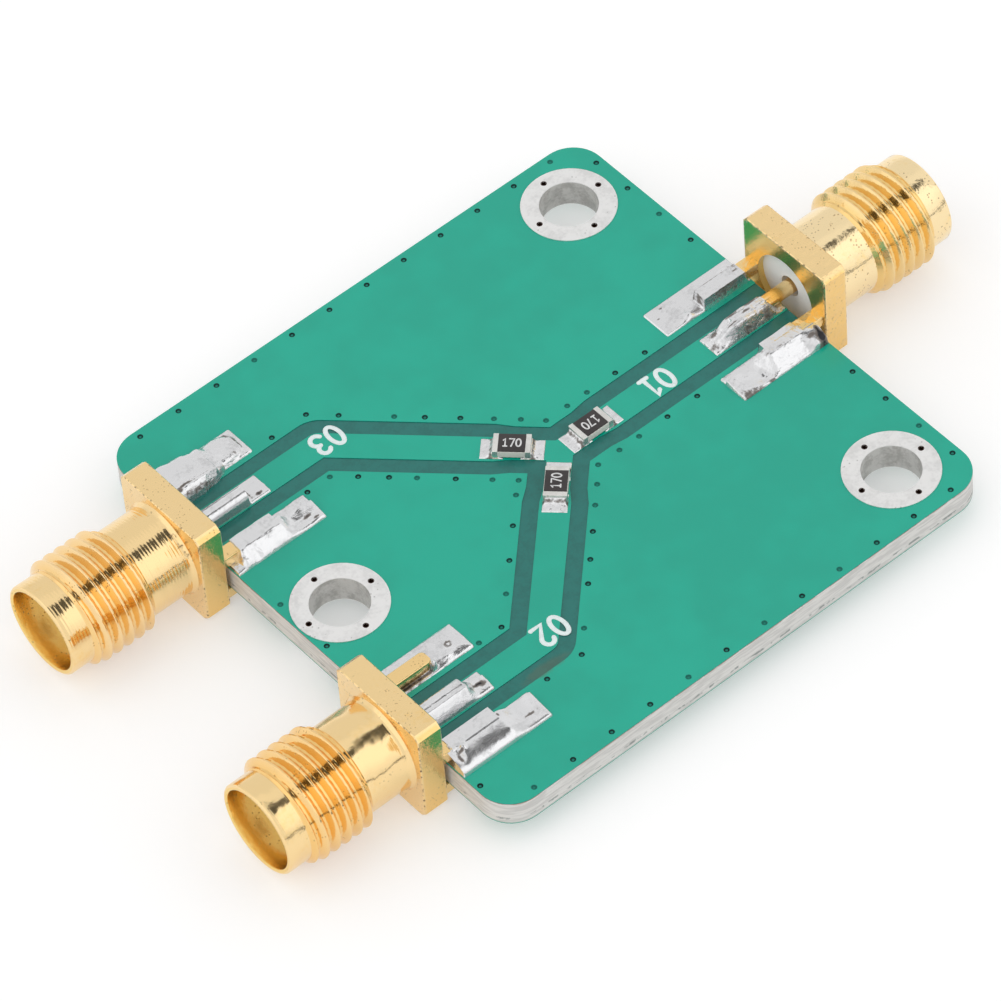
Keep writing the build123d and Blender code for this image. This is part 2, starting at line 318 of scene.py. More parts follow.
def gold_finish(name, colour, rough, marks=0.0, pitch=0.00018, pits=0.0, grain=0.0, spread=0.52, least_shade=0.0,
                dents=0.0, dent_scale=600.0):
    """Gold plate: the plate's colour, deeper in soft patches and by the piece's own value of painted shade, with
    small pits, worn spots by the piece's own wear value, and a relief of soft dents, turning marks, pits and grain,
    whose strengths are heights in hundredths of a millimetre. The painted shade deepens the gold in thread roots, on
    a flange's sides and on the legs, and can be given a least amount."""
    paint = Paint(name)
    place = paint.place
    mottle = place.group("mottle", Coarse=420.0, Fine=3600.0)
    # Painted shade: a deeper gold where the piece's own value says so, and at least the given amount
    mottle_and_shade = place.maths("MAXIMUM", mottle.ramp(0.52, 0.78), place.attribute("painted_shade") * 0.9 + least_shade)
    pit = place.group("pits", Scale=5200.0, Size=0.15, Spread=spread)
    worn = (place.noise(4600.0, 4.0) * 1.5 + place.attribute("wear")).ramp(1.25, 1.60, 0.0, 0.9)
    base = (pit * pits).blend(mottle_and_shade.blend(colour, shaded(colour, 0.98, 0.90, 0.70)), (0.28, 0.16, 0.06))
    unit = 0.01 * MM
    if dents:
        paint.bump(place.noise(dent_scale, 1.5), dents * unit)
    if marks:
        paint.bump(place.group("turning_marks", Pitch=pitch, Unevenness=0.9), marks * unit)
    paint.bump(place.noise(4200.0, 4.0), grain * unit)
    paint.bump(1.0 - pit, pits * 1.6 * unit)
    return paint.finish(worn.blend(base, (0.20, 0.14, 0.08)), 1.0, mottle * 0.10 + (rough - 0.05) + worn * 0.3)


def solder_finish(colour):
    """Solder: bright metal with duller patches, brown to black flux and painted shade where the piece's own value of
    them says so, and ripples, creases drawn out along the leg and a fine grain, as high as the piece's own grit
    value."""
    paint = Paint("bright_solder")
    place = paint.place
    mottle = place.group("mottle", Coarse=900.0, Fine=5200.0)
    # The piece's value of flux and painted shade: brown where it is high, near black where it is higher
    edge = place.noise(5200.0, 4.0) * 1.3 + place.attribute("flux")
    stain_and_shade = edge.ramp(1.05, 1.55) * 0.85
    base = stain_and_shade.blend(mottle.ramp(0.50, 0.66).blend(colour, shaded(colour, 0.84)), (0.10, 0.072, 0.055))
    base = edge.ramp(1.7, 2.2).blend(base, (0.018, 0.018, 0.022))
    grit = place.attribute("grit")
    for scale, stretch, detail, distance in ((1700.0, 1.0, 3.0, 2.6e-5), (3600.0, 0.35, 2.0, 1.3e-5),
                                             (9000.0, 1.0, 2.0, 0.3e-5)):
        paint.bump(place.vector("MULTIPLY", (stretch, 1.0, 1.0)).noise(scale, detail, 0.8) * grit, distance)
    return paint.finish(base, stain_and_shade * -0.6 + 0.94, mottle * 0.34 + 0.01 + stain_and_shade * 0.2)


def tin_finish(name, colour, rough):
    """Satin tin: near white metal with a fine grain and small dull specks."""
    paint = Paint(name)
    mottle = paint.place.group("mottle", Coarse=1100.0, Fine=6000.0)
    specks = paint.place.group("pits", Scale=3800.0, Size=0.13, Spread=0.56) * 0.5
    base = specks.blend(mottle.ramp(0.42, 0.66).blend(colour, shaded(colour, 0.86)), (0.30, 0.29, 0.28))
    paint.bump(mottle, 1.4e-5)
    return paint.finish(base, 0.85, mottle * 0.25 + (rough - 0.12))


def plain_finish(name, colour, rough, shift=0.88, relief=4e-6, coarse=700.0, metal=0.0):
    """Moulded or fired stuff: a colour that varies softly to a darker share of itself, with a slight relief."""
    paint = Paint(name)
    mottle = paint.place.group("mottle", Coarse=coarse, Fine=coarse * 7)
    paint.bump(mottle, relief)
    base = mottle.ramp(0.40, 0.66).blend(colour, shaded(colour, shift))
    return paint.finish(base, metal, mottle * 0.16 + (rough - 0.08))


def via_finish():
    """Mask around and in a via: dark where the piece's own dark value says so, and a dull green elsewhere."""
    paint = Paint("via_mask")
    mottle = paint.place.group("mottle", Coarse=900.0, Fine=6000.0)
    ring = mottle.ramp(0.40, 0.62).blend((0.003, 0.040, 0.034), (0.002, 0.018, 0.016))
    paint.inputs["Specular IOR Level"].default_value = 0.12
    paint.bump(mottle, 4e-6)
    return paint.finish(paint.place.attribute("dark").blend((0.018, 0.25, 0.19), ring), 0.0, mottle * 0.2 + 0.12)


def board_finish(board):
    """The board: green mask over copper on the faces, darker mask in the channels, pale fibre with darker
    strands and a copper line on the edges, and tin on the walls of the mounting holes. Height above the
    resting plane tells face from channel and from edge."""
    paint = Paint("board")
    place = paint.place
    z = place.axis("Z")
    top, bottom = BOARD_TOP * MM, BOARD_BOTTOM * MM
    green, channel, fibre = tuple(board.mask_colour), tuple(board.channel_colour), tuple(board.fibre_colour)
    fine = place.group("mottle", Coarse=1500.0, Fine=7000.0)
    mask = place.group("mottle", Coarse=60.0, Fine=500.0).ramp(0.40, 0.62).blend(green, shaded(green, 0.90))
    in_channel = (z < top - 0.02 * MM) * (z > bottom + 0.1 * MM)
    face = in_channel.blend(mask, fine.ramp(0.42, 0.64).blend(channel, shaded(channel, 0.86)))

    # A thin brown smear of flux on the top, over the channel beside the first output's trace
    away = place.vector("SUBTRACT", (-8.7 * MM, -10.35 * MM, top)).vector("MULTIPLY", (0.4, 1.5, 1.0))
    smear = fine * (0.9 * MM) + away.vector("LENGTH", output="Value")
    face = smear.ramp(0.75 * MM, 1.15 * MM, 0.42, 0.0).blend(face, (0.10, 0.12, 0.075))

    # The sawn edge, between the two faces: strands, a grey weft, a green foot and a line of copper near the top
    edge = (z < top - 0.06 * MM) * (z > bottom + 0.05 * MM)
    strands = place.vector("MULTIPLY", (0.12, 0.12, 1.0)).noise(7000.0, 4.0)
    rough_cut = place.noise(1700.0, 4.0)
    fibre = strands.ramp(0.38, 0.62).blend(fibre, shaded(fibre, 0.80))
    weft = abs(z - (bottom + 0.38 * MM)).ramp(0.05 * MM, 0.11 * MM, 1.0, 0.0) * rough_cut.ramp(0.50, 0.60)
    foot = z.ramp(bottom + 0.05 * MM, bottom + 0.20 * MM, 0.55, 0.0)
    copper = z.ramp(top - 0.14 * MM, top - 0.09 * MM) * rough_cut.ramp(0.40, 0.55)
    for layer, colour in ((weft * 0.8, (0.20, 0.23, 0.22)), (foot, (0.33, 0.46, 0.40)),
                          (copper * 0.75, (0.36, 0.20, 0.11))):
        fibre = layer.blend(fibre, colour)

    # Walls of the mounting holes: within a radius a little over the hole's, on the plan
    flat = place.vector("MULTIPLY", (1, 1, 0))
    far = [flat.vector("DISTANCE", (x * MM, y * MM, 0), "Value") for x, y in HOLES]
    plated = functools.reduce(functools.partial(place.maths, "MINIMUM"), far) < 1.62 * MM
    tin = fine.ramp(0.40, 0.66).blend((0.72, 0.71, 0.69), (0.52, 0.51, 0.49))
    paint.bump(strands * edge * 5.0 + fine * 0.3, 8e-6)
    base = plated.blend(edge.blend(face, fibre), tin)
    return paint.finish(base, plated * 0.6, place.maths("MAXIMUM", edge, plated) * 0.32 + 0.20)


# ---- Sizes and colours ----


def shade(name, description, default):
    """A colour property."""
    return bpy.props.FloatVectorProperty(
        name=name, description=description, subtype="COLOR", default=default, min=0, max=1
    )


def amount(name, description, default, low, high):
    """A number property between two limits."""
    return bpy.props.FloatProperty(name=name, description=description, default=default, min=low, max=high)


class BoardLook(bpy.types.PropertyGroup):
    """Colours of the board, and the sizes of its marks and vias."""

    mask_colour: shade("Mask", "Green mask over copper", (0.003, 0.424, 0.296))
    channel_colour: shade("Channel", "Mask over bare laminate", (0.010, 0.171, 0.147))
    fibre_colour: shade("Fibre", "Sawn edge of the laminate", (0.80, 0.79, 0.76))
    ink_colour: shade("Ink", "Printed numbers", (0.83, 0.93, 0.93))
    via_rim: amount("Via rim", "Radius of the dark ring around a via, mm", 0.165, 0.16, 0.3)
    via_bore: amount("Via bore", "Radius of a via's throat, mm", 0.10, 0.05, 0.14)
    digit_height: amount("Digit height", "Height of the printed numbers, mm", 1.34, 0.5, 1.6)
    stroke: amount("Stroke", "Width of the printed strokes, mm", 0.26, 0.08, 0.4)


class ConnectorLook(bpy.types.PropertyGroup):
    """Colours of the gold plate, and the thread's form."""

    plate_colour: shade("Gold", "Gold plate at a right angle", (0.95, 0.70, 0.355))
    pitch: amount("Pitch", "Thread pitch, mm", 0.7056, 0.4, 1.2)
    depth: amount("Depth", "Thread depth, mm", 0.36, 0.1, 0.43)
    marks: amount("Turning marks", "Strength of the marks on the necks", 1.0, 0, 3)
    around: bpy.props.IntProperty(
        name="Points around", description="Points around a barrel", default=168, min=48, max=320
    )


class SolderLook(bpy.types.PropertyGroup):
    """Colour of the solder, and the fineness of its surfaces."""

    metal_colour: shade("Solder", "Bright solder", (0.775, 0.775, 0.785))
    step: amount("Step", "Distance between the points of a solder surface, mm", 0.05, 0.02, 0.2)
    coat: amount("Coat", "Solder over a leg or pin, mm", 0.05, 0.01, 0.15)


class ChipLook(bpy.types.PropertyGroup):
    """Sizes and colours of the chip resistors."""

    length: amount("Length", "Over the caps, mm", 2.0, 1, 3)
    width: amount("Width", "Across, mm", 1.25, 0.6, 2)
    height: amount("Height", "Above its pads, mm", 0.5, 0.3, 0.8)
    wrap: amount("Wrap", "How far a cap wraps, mm", 0.3, 0.1, 0.5)
    film_colour: shade("Overcoat", "Dark glass", (0.035, 0.028, 0.028))


class StudioLook(bpy.types.PropertyGroup):
    """Strengths of the lights."""

    sky: amount("Sky", "Strength of the pale studio around the object", 0.93, 0, 2)
    softbox: amount("Softbox", "Strength of the tall softbox beside the object", 1.25, 0, 6)
    gap: amount("Gap", "Strength of the unlit gap over the softbox", 0.10, 0, 2)


# ---- The connectors ----

# Distances along a barrel from the flange's inner face, and the depth of the mouth
FLANGE, NECK_END, THREAD_END, END, MOUTH = 1.5, 4.2, 8.15, 9.5, 1.93
# The flange's half width and the cut of its corners, and the radii of a barrel
FLANGE_HALF, CUT, CREST, NECK, PILOT, SOCKET, BORE = 3.175, 0.3, 3.1, 2.60, 2.65, 2.325, 2.1
# The thread's flat crest and its flank as shares of half a pitch, the lengths of its cones, and rows for a pitch
CREST_FLAT, FLANK, RUN_IN, RUN_OUT, PITCH_ROWS = 0.11, 0.70, 0.42, 0.34, 36
# Material of a barrel's rows
ON_NECK, ON_THREAD, ON_FLANGE, IN_BORE = range(4)
# Turning marks' strength and pitch in metres, and the dents, on each neck
NECKS = {"input": (0.45, 0.00026, 9.0), "output_1": (0.5, 0.00010, 14.0), "output_2": (3.2, 0.00019, 5.0)}
# The thread's colour as a share of the plate's
THREAD_TINT = {"input": (0.98, 1.0, 1.02), "output_1": (1.0, 0.95, 0.90), "output_2": (1.0, 1.0, 1.08)}
# Painted shade: how much deeper the gold's colour is on the flange's two sides and on the legs
SIDE_SHADE, LEG_SHADE = 1.1, 0.5
# Rows along the flange's edges and how worn they are, and the share of each worn spot's strength that is used
EDGE_ROWS, EDGE_WEAR, SPOT_WEAR = [2, 3, 9, 10], 0.56, 0.8
# Worn spots as distance along, y and z from the axis, size and strength
WEAR = {
    "flange": ((0.12, 3.05, 3.1, 0.42, 1.0), (1.4, 3.0, 3.1, 0.25, 0.8), (0.3, -2.95, 3.1, 0.25, 0.7),
               (1.3, 0.6, 3.15, 0.22, 0.6)),
    "input": ((0.9, -3.1, 2.2, 0.4, 0.7), (3.9, -2.0, 1.7, 0.6, 0.8)),
    "output_1": ((1.58, 1.0, 2.4, 0.55, 0.9), (1.56, -0.4, 2.6, 0.5, 0.8), (0.2, 3.1, 1.6, 0.5, 0.8)),
    "output_2": ((1.66, -1.25, 2.3, 0.55, 0.9), (1.66, -1.8, 1.9, 0.55, 0.95), (1.60, -2.15, 1.5, 0.5, 0.9),
                 (1.58, 0.5, 2.6, 0.5, 0.8)),
}


def square_outline(angle, half):
    """Distance from the axis to a square with cut corners: the lesser of half / max(|cos|, |sin|), its sides,
    and (2 half - cut) / (|cos| + |sin|), its corner cuts."""
    across, up = np.abs(np.cos(angle)), np.abs(np.sin(angle))
    return np.minimum(half / np.maximum(across, up), (2 * half - CUT) / (across + up))


def thread_radius(along, angle, depth, pitch):
    """Radius of a right-handed thread: with the phase s = along / pitch - angle / turn, a straight flank between
    a narrow flat crest about s = 1/2 and a narrow flat root about s = 0, never above a cone at either end. The
    second value is how deep the point lies, from 0 at the crest to 1 at the root."""
    off_crest = np.abs(np.mod(along / pitch - angle / math.tau, 1.0) - 0.5) * 2
    fall = np.clip((off_crest - CREST_FLAT) / FLANK, 0, 1)
    cone_start = NECK + (CREST - NECK) * np.clip((along - NECK_END) / RUN_IN, 0, 1)
    cone_end = PILOT + (CREST - PILOT) * np.clip((THREAD_END - along) / RUN_OUT, 0, 1)
    radius = np.minimum(CREST - depth * fall, np.minimum(cone_start, cone_end))
    return radius, np.clip((CREST - radius) / depth, 0, 1)


def barrel(look):
    """A body as rows about its axis, from the bore over the flange, the neck, the thread and the pilot into the
    mouth: the angle of each column, and for each point its distance along, its radius, its material and its
    painted shade, a deeper gold in the thread's roots and on the flange's two sides."""
    corner = math.atan2(FLANGE_HALF - CUT, FLANGE_HALF)
    corners = [quarter * math.pi / 2 + place for quarter in range(4) for place in (corner, math.pi / 2 - corner)]
    angle = np.unique(np.round(np.r_[np.linspace(0, math.tau, look.around, endpoint=False), corners], 6))
    near, inset, full = (square_outline(angle, half) for half in (3.02, 3.13, FLANGE_HALF))
    # Painted shade on the flange's two sides, which face +Y and -Y
    aside = SIDE_SHADE * (np.abs(np.cos(angle)) > np.abs(np.sin(angle)))
    rows = [(0.0, BORE, IN_BORE, 0.0)]
    rows += [(along, radius, ON_FLANGE, 0.0) for along, radius in ((0.0, near), (0.0, inset), (0.045, full))]
    rows += [(along, full, ON_FLANGE, aside) for along in (0.15, 0.4, 0.7, 1.05, FLANGE - 0.15)]
    rows += [(along, radius, ON_FLANGE, 0.0) for along, radius in (
        (FLANGE - 0.045, full), (FLANGE, inset), (FLANGE, near), (FLANGE, 2.78))]
    rows += [(along, radius, ON_NECK, 0.0) for along, radius in (
        (1.53, 2.76), (1.62, 2.66), (1.70, 2.605), (1.85, NECK), (2.9, NECK), (3.9, NECK), (4.17, NECK))]
    steps = int(round((THREAD_END - NECK_END) / look.pitch * PITCH_ROWS))
    for along in np.linspace(NECK_END, THREAD_END, steps + 1):
        radius, painted_shade = thread_radius(along, angle, look.depth, look.pitch)
        rows.append((along, radius, ON_THREAD, painted_shade))
    rows += [(along, radius, ON_NECK, 0.0) for along, radius in (
        (8.2, PILOT), (8.8, PILOT), (END - 0.11, PILOT), (END - 0.05, 2.625), (END - 0.012, 2.575))]
    rows += [(along, radius, IN_BORE, 0.0) for along, radius in (
        (END, 2.52), (END, 2.385), (END - 0.02, 2.345), (END - 0.07, SOCKET), (END - 1.0, SOCKET),
        (END - MOUTH, SOCKET), (END - MOUTH, BORE), (4.0, BORE))]
    return angle, *(np.array([np.broadcast_to(value, angle.shape) for value in column]) for column in zip(*rows))


def leg_surface(side, axis_y, gap, across, low, high):
    """One leg: a rounded rectangle carried inwards from the flange, drawn in over the last of its length, and
    closed at both ends. Each section is a superellipse of power nine about the leg's middle line."""
    turn = np.linspace(0, math.tau, 40, endpoint=False)
    cross, rise = (np.sign(wave) * np.abs(wave) ** (2 / 9) for wave in (np.cos(turn), np.sin(turn)))
    along = np.array([0.4, 0.0, -1.2, -2.4, -3.45, -3.6, -3.68, -LEG_REACH])
    wide = np.array([1, 1, 1, 1, 1, 0.86, 0.62, 0.30]) * LEG_HALF
    tall = np.array([1, 1, 1, 1, 1, 0.97, 0.88, 0.70]) * (high - low) / 2
    x = side * (BOARD_END + gap + along)
    y = axis_y + across + np.outer(wide, cross)
    z = (low + high) / 2 + np.outer(tall, rise)
    points = np.stack(np.broadcast_arrays(x[:, None], y, z), -1).reshape(-1, 3)
    root = np.arange(len(turn))
    tip = root + len(points) - len(turn)
    faces = grid_faces(len(along), len(turn), wrap_columns=True, flip=side > 0)
    return points, [*faces, tip[::-side], root[::side]]


class SPLITTER_OT_connectors(bpy.types.Operator):
    """Builds the three gold connector bodies, with their helical threads, flanges and legs"""

    bl_idname = "splitter.connectors"
    bl_label = "Connector bodies"

    def execute(self, context):
        look = context.scene.splitter_connector
        plate = tuple(look.plate_colour)
        angle, along, radius, number, painted_shade = barrel(look)
        faces = grid_faces(*along.shape, wrap_rows=True, wrap_columns=True)
        sets = [faces[number.ravel() == kind] for kind in range(4)]
        for port, side, axis_y, _, gap in PORTS:
            coarse = port == "input"
            marks, pitch, dents = NECKS[port]
            finishes = (
                gold_finish(f"gold_neck_{port}", (0.97, 0.77, 0.45) if coarse else plate, 0.12,
                            marks=look.marks * marks, pitch=pitch, dents=dents, pits=0.6 if coarse else 0.3,
                            spread=0.50 if coarse else 0.62, grain=1.3 if coarse else 0.7),
                # The thread's gold is deepened by painted shade in its roots, and by at least 0.2 of it everywhere
                gold_finish(f"gold_thread_{port}", shaded(plate, *THREAD_TINT[port]), 0.10, pits=0.5,
                            grain=1.2 if coarse else 0.6, spread=0.56, least_shade=0.2),
                gold_finish(f"gold_flange_{port}", plate, 0.20, pits=0.4, grain=6.0 if coarse else 2.4,
                            spread=0.50, dents=11.0 if coarse else 1.5, dent_scale=1500.0),
                # The bore's gold is a deeper, yellower copy of the plate: painted shade inside the bore
                gold_finish(f"gold_bore_{port}", (0.95, 0.67, 0.23), 0.24, pits=0.7, grain=1.2),
            )
            face = side * (BOARD_END + gap)
            points = np.stack([face + side * along, axis_y + side * radius * np.cos(angle),
                               AXIS_HEIGHT + radius * np.sin(angle)], -1).reshape(-1, 3)
            # Wear gathers along the flange's edges, on its upper corners and where the neck leaves it
            wear = np.zeros(number.shape)
            wear[EDGE_ROWS] = EDGE_WEAR
            wear = wear.ravel()
            for along_spot, y_spot, z_spot, size, share in WEAR["flange"] + WEAR[port]:
                spot = (side * (BOARD_END + gap + along_spot), axis_y + y_spot, AXIS_HEIGHT + z_spot)
                near = 1 - np.linalg.norm(points - np.array(spot), axis=1) / size
                wear = np.maximum(wear, near * share * SPOT_WEAR)
            # Each point's painted shade: deeper gold in the thread's roots, on the flange's sides and on the legs
            parts, worn, painted_shades = [(points, sets)], [np.clip(wear, 0, 1)], [painted_shade]
            for across in (LEG_ACROSS, -LEG_ACROSS):
                for low, high in ((BOARD_TOP, BOARD_TOP + LEG_RISE), (BOARD_BOTTOM - LEG_RISE, BOARD_BOTTOM)):
                    leg, leg_faces = leg_surface(side, axis_y, gap, across, low, high)
                    parts.append((leg, [[], [], leg_faces]))
                    worn.append(np.zeros(len(leg)))
                    painted_shades.append(np.full(len(leg), LEG_SHADE))
            make_piece(f"gold_body_{port}", parts, finishes, (f"connector_body_{port}",), sharp=34.0,
                       marks={"wear": worn, "painted_shade": painted_shades})
        contact = gold_finish("gold_contact", plate, 0.18, marks=0.15, pits=0.3, grain=0.2)
        insulator = plain_finish("insulator", (0.90, 0.915, 0.92), 0.38, shift=0.94)
        for port, *_ in PORTS:
            dress(contact, f"centre_contact_{port}")
            dress(insulator, f"dielectric_{port}")
        return {"FINISHED"}


# ---- Solder ----


def smooth_max(a, b, soft=0.04):
    """The greater of two heights, rounded where they meet: (a + b + sqrt((a - b)^2 + soft^2)) / 2."""
    return (a + b + np.sqrt((a - b) ** 2 + soft ** 2)) / 2


def crumple(s, y, seed, strength):
    """Low wrinkles: the sum of six sine waves of seeded direction, length and phase."""
    rng = np.random.default_rng(seed)
    total = np.zeros_like(s)
    for _ in range(6):
        way, length, shift = rng.uniform(0, math.pi), rng.uniform(0.5, 1.6), rng.uniform(0, math.tau)
        total += np.sin((s * np.cos(way) + y * np.sin(way)) * math.tau / length + shift) * length / 1.6
    return total / 6 * strength


def spots(s, y, places):
    """Sum of round swellings, each its size times exp(-(distance / radius)^2) about its place."""
    total = np.zeros_like(s)
    for at_s, at_y, wide_s, wide_y, size in places:
        total += size * np.exp(-(((s - at_s) / wide_s) ** 2 + ((y - at_y) / wide_y) ** 2))
    return total


def pillow(s, y, low_s, high_s, low_y, high_y, high, power):
    """A blob: its height times (1 - |u|^2.4 - |v|^power)^0.4, with u and v from -1 to 1 across it."""
    u = np.clip(np.abs((2 * s - low_s - high_s) / (high_s - low_s)), 0, 1)
    v = np.clip(np.abs((2 * y - low_y - high_y) / (high_y - low_y)), 0, 1)
    return high * np.clip(1 - u ** 2.4 - v ** power, 0, 1) ** 0.4


# Pads: how far the ones of the legs lie from the trace, and length and half width of a leg's and of a pin's
PAD_ACROSS, LEG_PAD, PIN_PAD = 3.04, (5.88, 1.015), (4.89, 0.75)
# How the solder lies at each leg above the board. Lengths from the board's edge inwards are s.
# begin, root: where the surface starts, and where the coat over the leg starts.
# start, ramp: where the skirt beside the leg starts, and the length over which it rises.
# skirt: share of the leg's height that the solder takes up on the +Y and the -Y side.
# power: 1 for a straight slope down to the pad's rim, 2 for a hollow one, 0.5 for a full one, first at the root
# and then further in. full: over 1 for a shoulder beside the leg.
# after, fall: the share that is left past the tip, and the length of the fall.
# dome, reach: thickness over the rest of the pad, and how far in from the rim it is reached.
# lift: swellings and dents, each as s, y, its radii along s and y, and its size. wrinkle: height of the wrinkles.
# blobs: pillows over the rest, each as its range of s, its range of y, its height and its power.
# the stains and the outline: brown stains, written like lift, and the strength of the one along the rim. The stains
# are flux, save a few thin lines and strips beside a leg or blob, which are painted shade; the line along the rim is
# flux and painted shade.
# grit: height of the fine relief.
PLAIN = dict(full=1.0, root=0.3, start=0.1, skirt=(0.5, 0.5), power=(1.6, 1.6), after=0.1, fall=0.8, dome=0.06,
             reach=0.35, ramp=0.5, wrinkle=0.008, lift=(), blobs=(), flux=(), outline=0.45, begin=0.02, grit=1.0)
LEG_JOINTS = {
    ("input", "left"): dict(
        root=0.25, skirt=(0.10, 0.10), after=0.5, fall=0.3, dome=0.05, wrinkle=0.006, grit=0.6, outline=0.35,
        lift=((4.15, 2.34, 0.36, 0.24, 0.18), (0.5, 3.3, 0.25, 0.3, 0.06), (0.9, 3.15, 0.5, 0.12, 0.05),
              (0.7, 3.6, 0.4, 0.12, 0.06)),
        # Three of these stains are thin lines of painted shade along the leg's two sides and across its tip
        flux=((5.45, 3.22, 0.13, 0.06, 1.0), (4.88, 3.7, 0.13, 0.07, 1.0), (4.9, 3.42, 0.08, 0.06, 0.8),
              (0.7, 2.6, 0.22, 0.10, 0.8), (0.5, 2.95, 0.2, 0.25, 0.75), (2.1, 2.97, 1.3, 0.05, 1.1),
              (1.8, 2.10, 1.4, 0.05, 0.9), (3.20, 2.54, 0.05, 0.42, 1.1), (0.4, 3.4, 0.15, 0.3, 0.6))),
    ("input", "right"): dict(
        root=0.85, start=-0.4, ramp=0.5, skirt=(0.1, 1.04), power=(0.33, 1.0), full=1.08, after=0.34, fall=1.1,
        dome=0.12, wrinkle=0.045, grit=1.8,
        lift=((4.0, -3.70, 0.5, 0.22, -0.07), (2.6, -3.2, 0.5, 0.2, 0.04), (5.2, -3.5, 0.4, 0.3, 0.06)),
        # The last of these stains is a thin line of painted shade along the leg's -Y side
        flux=((5.55, -3.8, 0.3, 0.30, 0.85), (5.0, -3.95, 0.5, 0.16, 0.85), (3.35, -2.75, 0.2, 0.30, 0.6),
              (0.30, -3.80, 0.30, 0.30, 1.9), (0.75, -3.45, 0.25, 0.16, 1.1), (0.25, -3.35, 0.12, 0.25, 1.3),
              (3.95, -3.95, 0.35, 0.10, 0.9), (2.2, -2.98, 1.0, 0.05, 0.7))),
    ("output_1", "right"): dict(
        root=9.0, skirt=(0.14, 0.08), after=1.0, fall=0.5, dome=0.20, reach=0.60, wrinkle=0.012, outline=0.6,
        lift=((4.85, -5.98, 0.22, 0.18, 0.10), (4.85, -5.98, 0.10, 0.09, -0.22), (4.6, -5.1, 0.8, 0.2, 0.05),
              (4.3, -6.5, 0.35, 0.2, 0.06), (0.8, -6.62, 2.4, 0.20, -0.25)),
        blobs=((3.10, 3.64, -6.74, -6.28, 0.62, 2.0),),
        # The stain at y -6.62 is a long strip of painted shade along the leg's -Y side
        flux=((4.85, -5.98, 0.20, 0.18, 2.2), (4.85, -5.98, 0.11, 0.10, -2.4), (3.0, -5.55, 0.25, 0.08, 0.8),
              (2.2, -5.6, 0.2, 0.05, 0.7), (1.0, -6.62, 2.3, 0.13, 1.8), (5.2, -6.45, 0.35, 0.08, 0.7))),
    ("output_1", "left"): dict(
        root=0.30, start=-0.5, ramp=0.5, skirt=(0.5, 0.98), power=(0.47, 0.50), full=1.0, after=0.38, fall=1.2,
        dome=0.14, reach=0.4, wrinkle=0.008, grit=0.3,
        lift=((0.50, -12.0, 0.22, 0.40, -0.12), (0.95, -11.75, 0.15, 0.2, 0.08), (5.6, -11.3, 0.3, 0.5, 0.10),
              (3.9, -12.4, 0.6, 0.25, 0.05)),
        flux=((3.50, -11.45, 0.10, 0.12, 1.1), (0.35, -11.4, 0.2, 0.25, 0.6), (0.45, -12.2, 0.12, 0.35, 1.2),
              (0.75, -11.9, 0.2, 0.1, 1.2), (5.0, -12.2, 0.5, 0.10, 1.0))),
    ("output_2", "right"): dict(
        root=-0.2, skirt=(0.6, 0.4), power=(1.4, 1.4), after=0.1, fall=0.6, dome=0.05, wrinkle=0.018, begin=-0.27,
        grit=2.2, outline=0.6,
        blobs=((-2.4, 4.10, 10.42, 13.02, 0.93, 5.0), (2.6, 5.62, 10.98, 12.82, 0.44, 4.0)),
        lift=((5.1, 11.5, 0.3, 0.12, 0.03),),
        # The last of these stains is a strip of painted shadow under the blob's lower rim
        flux=((1.45, 10.95, 0.40, 0.07, 1.0), (1.05, 10.78, 0.25, 0.10, 1.0), (5.02, 12.72, 0.30, 0.05, 1.1),
              (5.33, 12.5, 0.12, 0.22, 1.1), (5.5, 12.1, 0.06, 0.30, 1.1), (5.55, 11.6, 0.06, 0.30, 1.0),
              (4.95, 11.25, 0.12, 0.16, 0.9), (2.2, 10.55, 2.0, 0.12, 0.75))),
    ("output_2", "left"): dict(
        root=0.72, start=0.35, ramp=0.5, skirt=(0.3, 1.0), power=(0.6, 0.8), full=1.04, after=0.40, fall=0.9,
        dome=0.14, reach=0.3, wrinkle=0.065, grit=1.4,
        lift=((4.6, 5.5, 0.5, 0.3, -0.06), (3.7, 6.1, 0.2, 0.5, 0.06), (4.9, 6.2, 0.3, 0.2, 0.05),
              (1.4, 5.2, 0.3, 0.3, -0.05), (2.9, 5.1, 0.3, 0.2, 0.05)),
        flux=((5.0, 5.42, 0.30, 0.10, 1.4), (5.35, 5.1, 0.2, 0.08, 1.3), (3.75, 5.9, 0.15, 0.35, 0.5),
              (0.75, 5.3, 0.25, 0.3, 0.6), (4.4, 6.5, 0.4, 0.06, 0.5))),
}
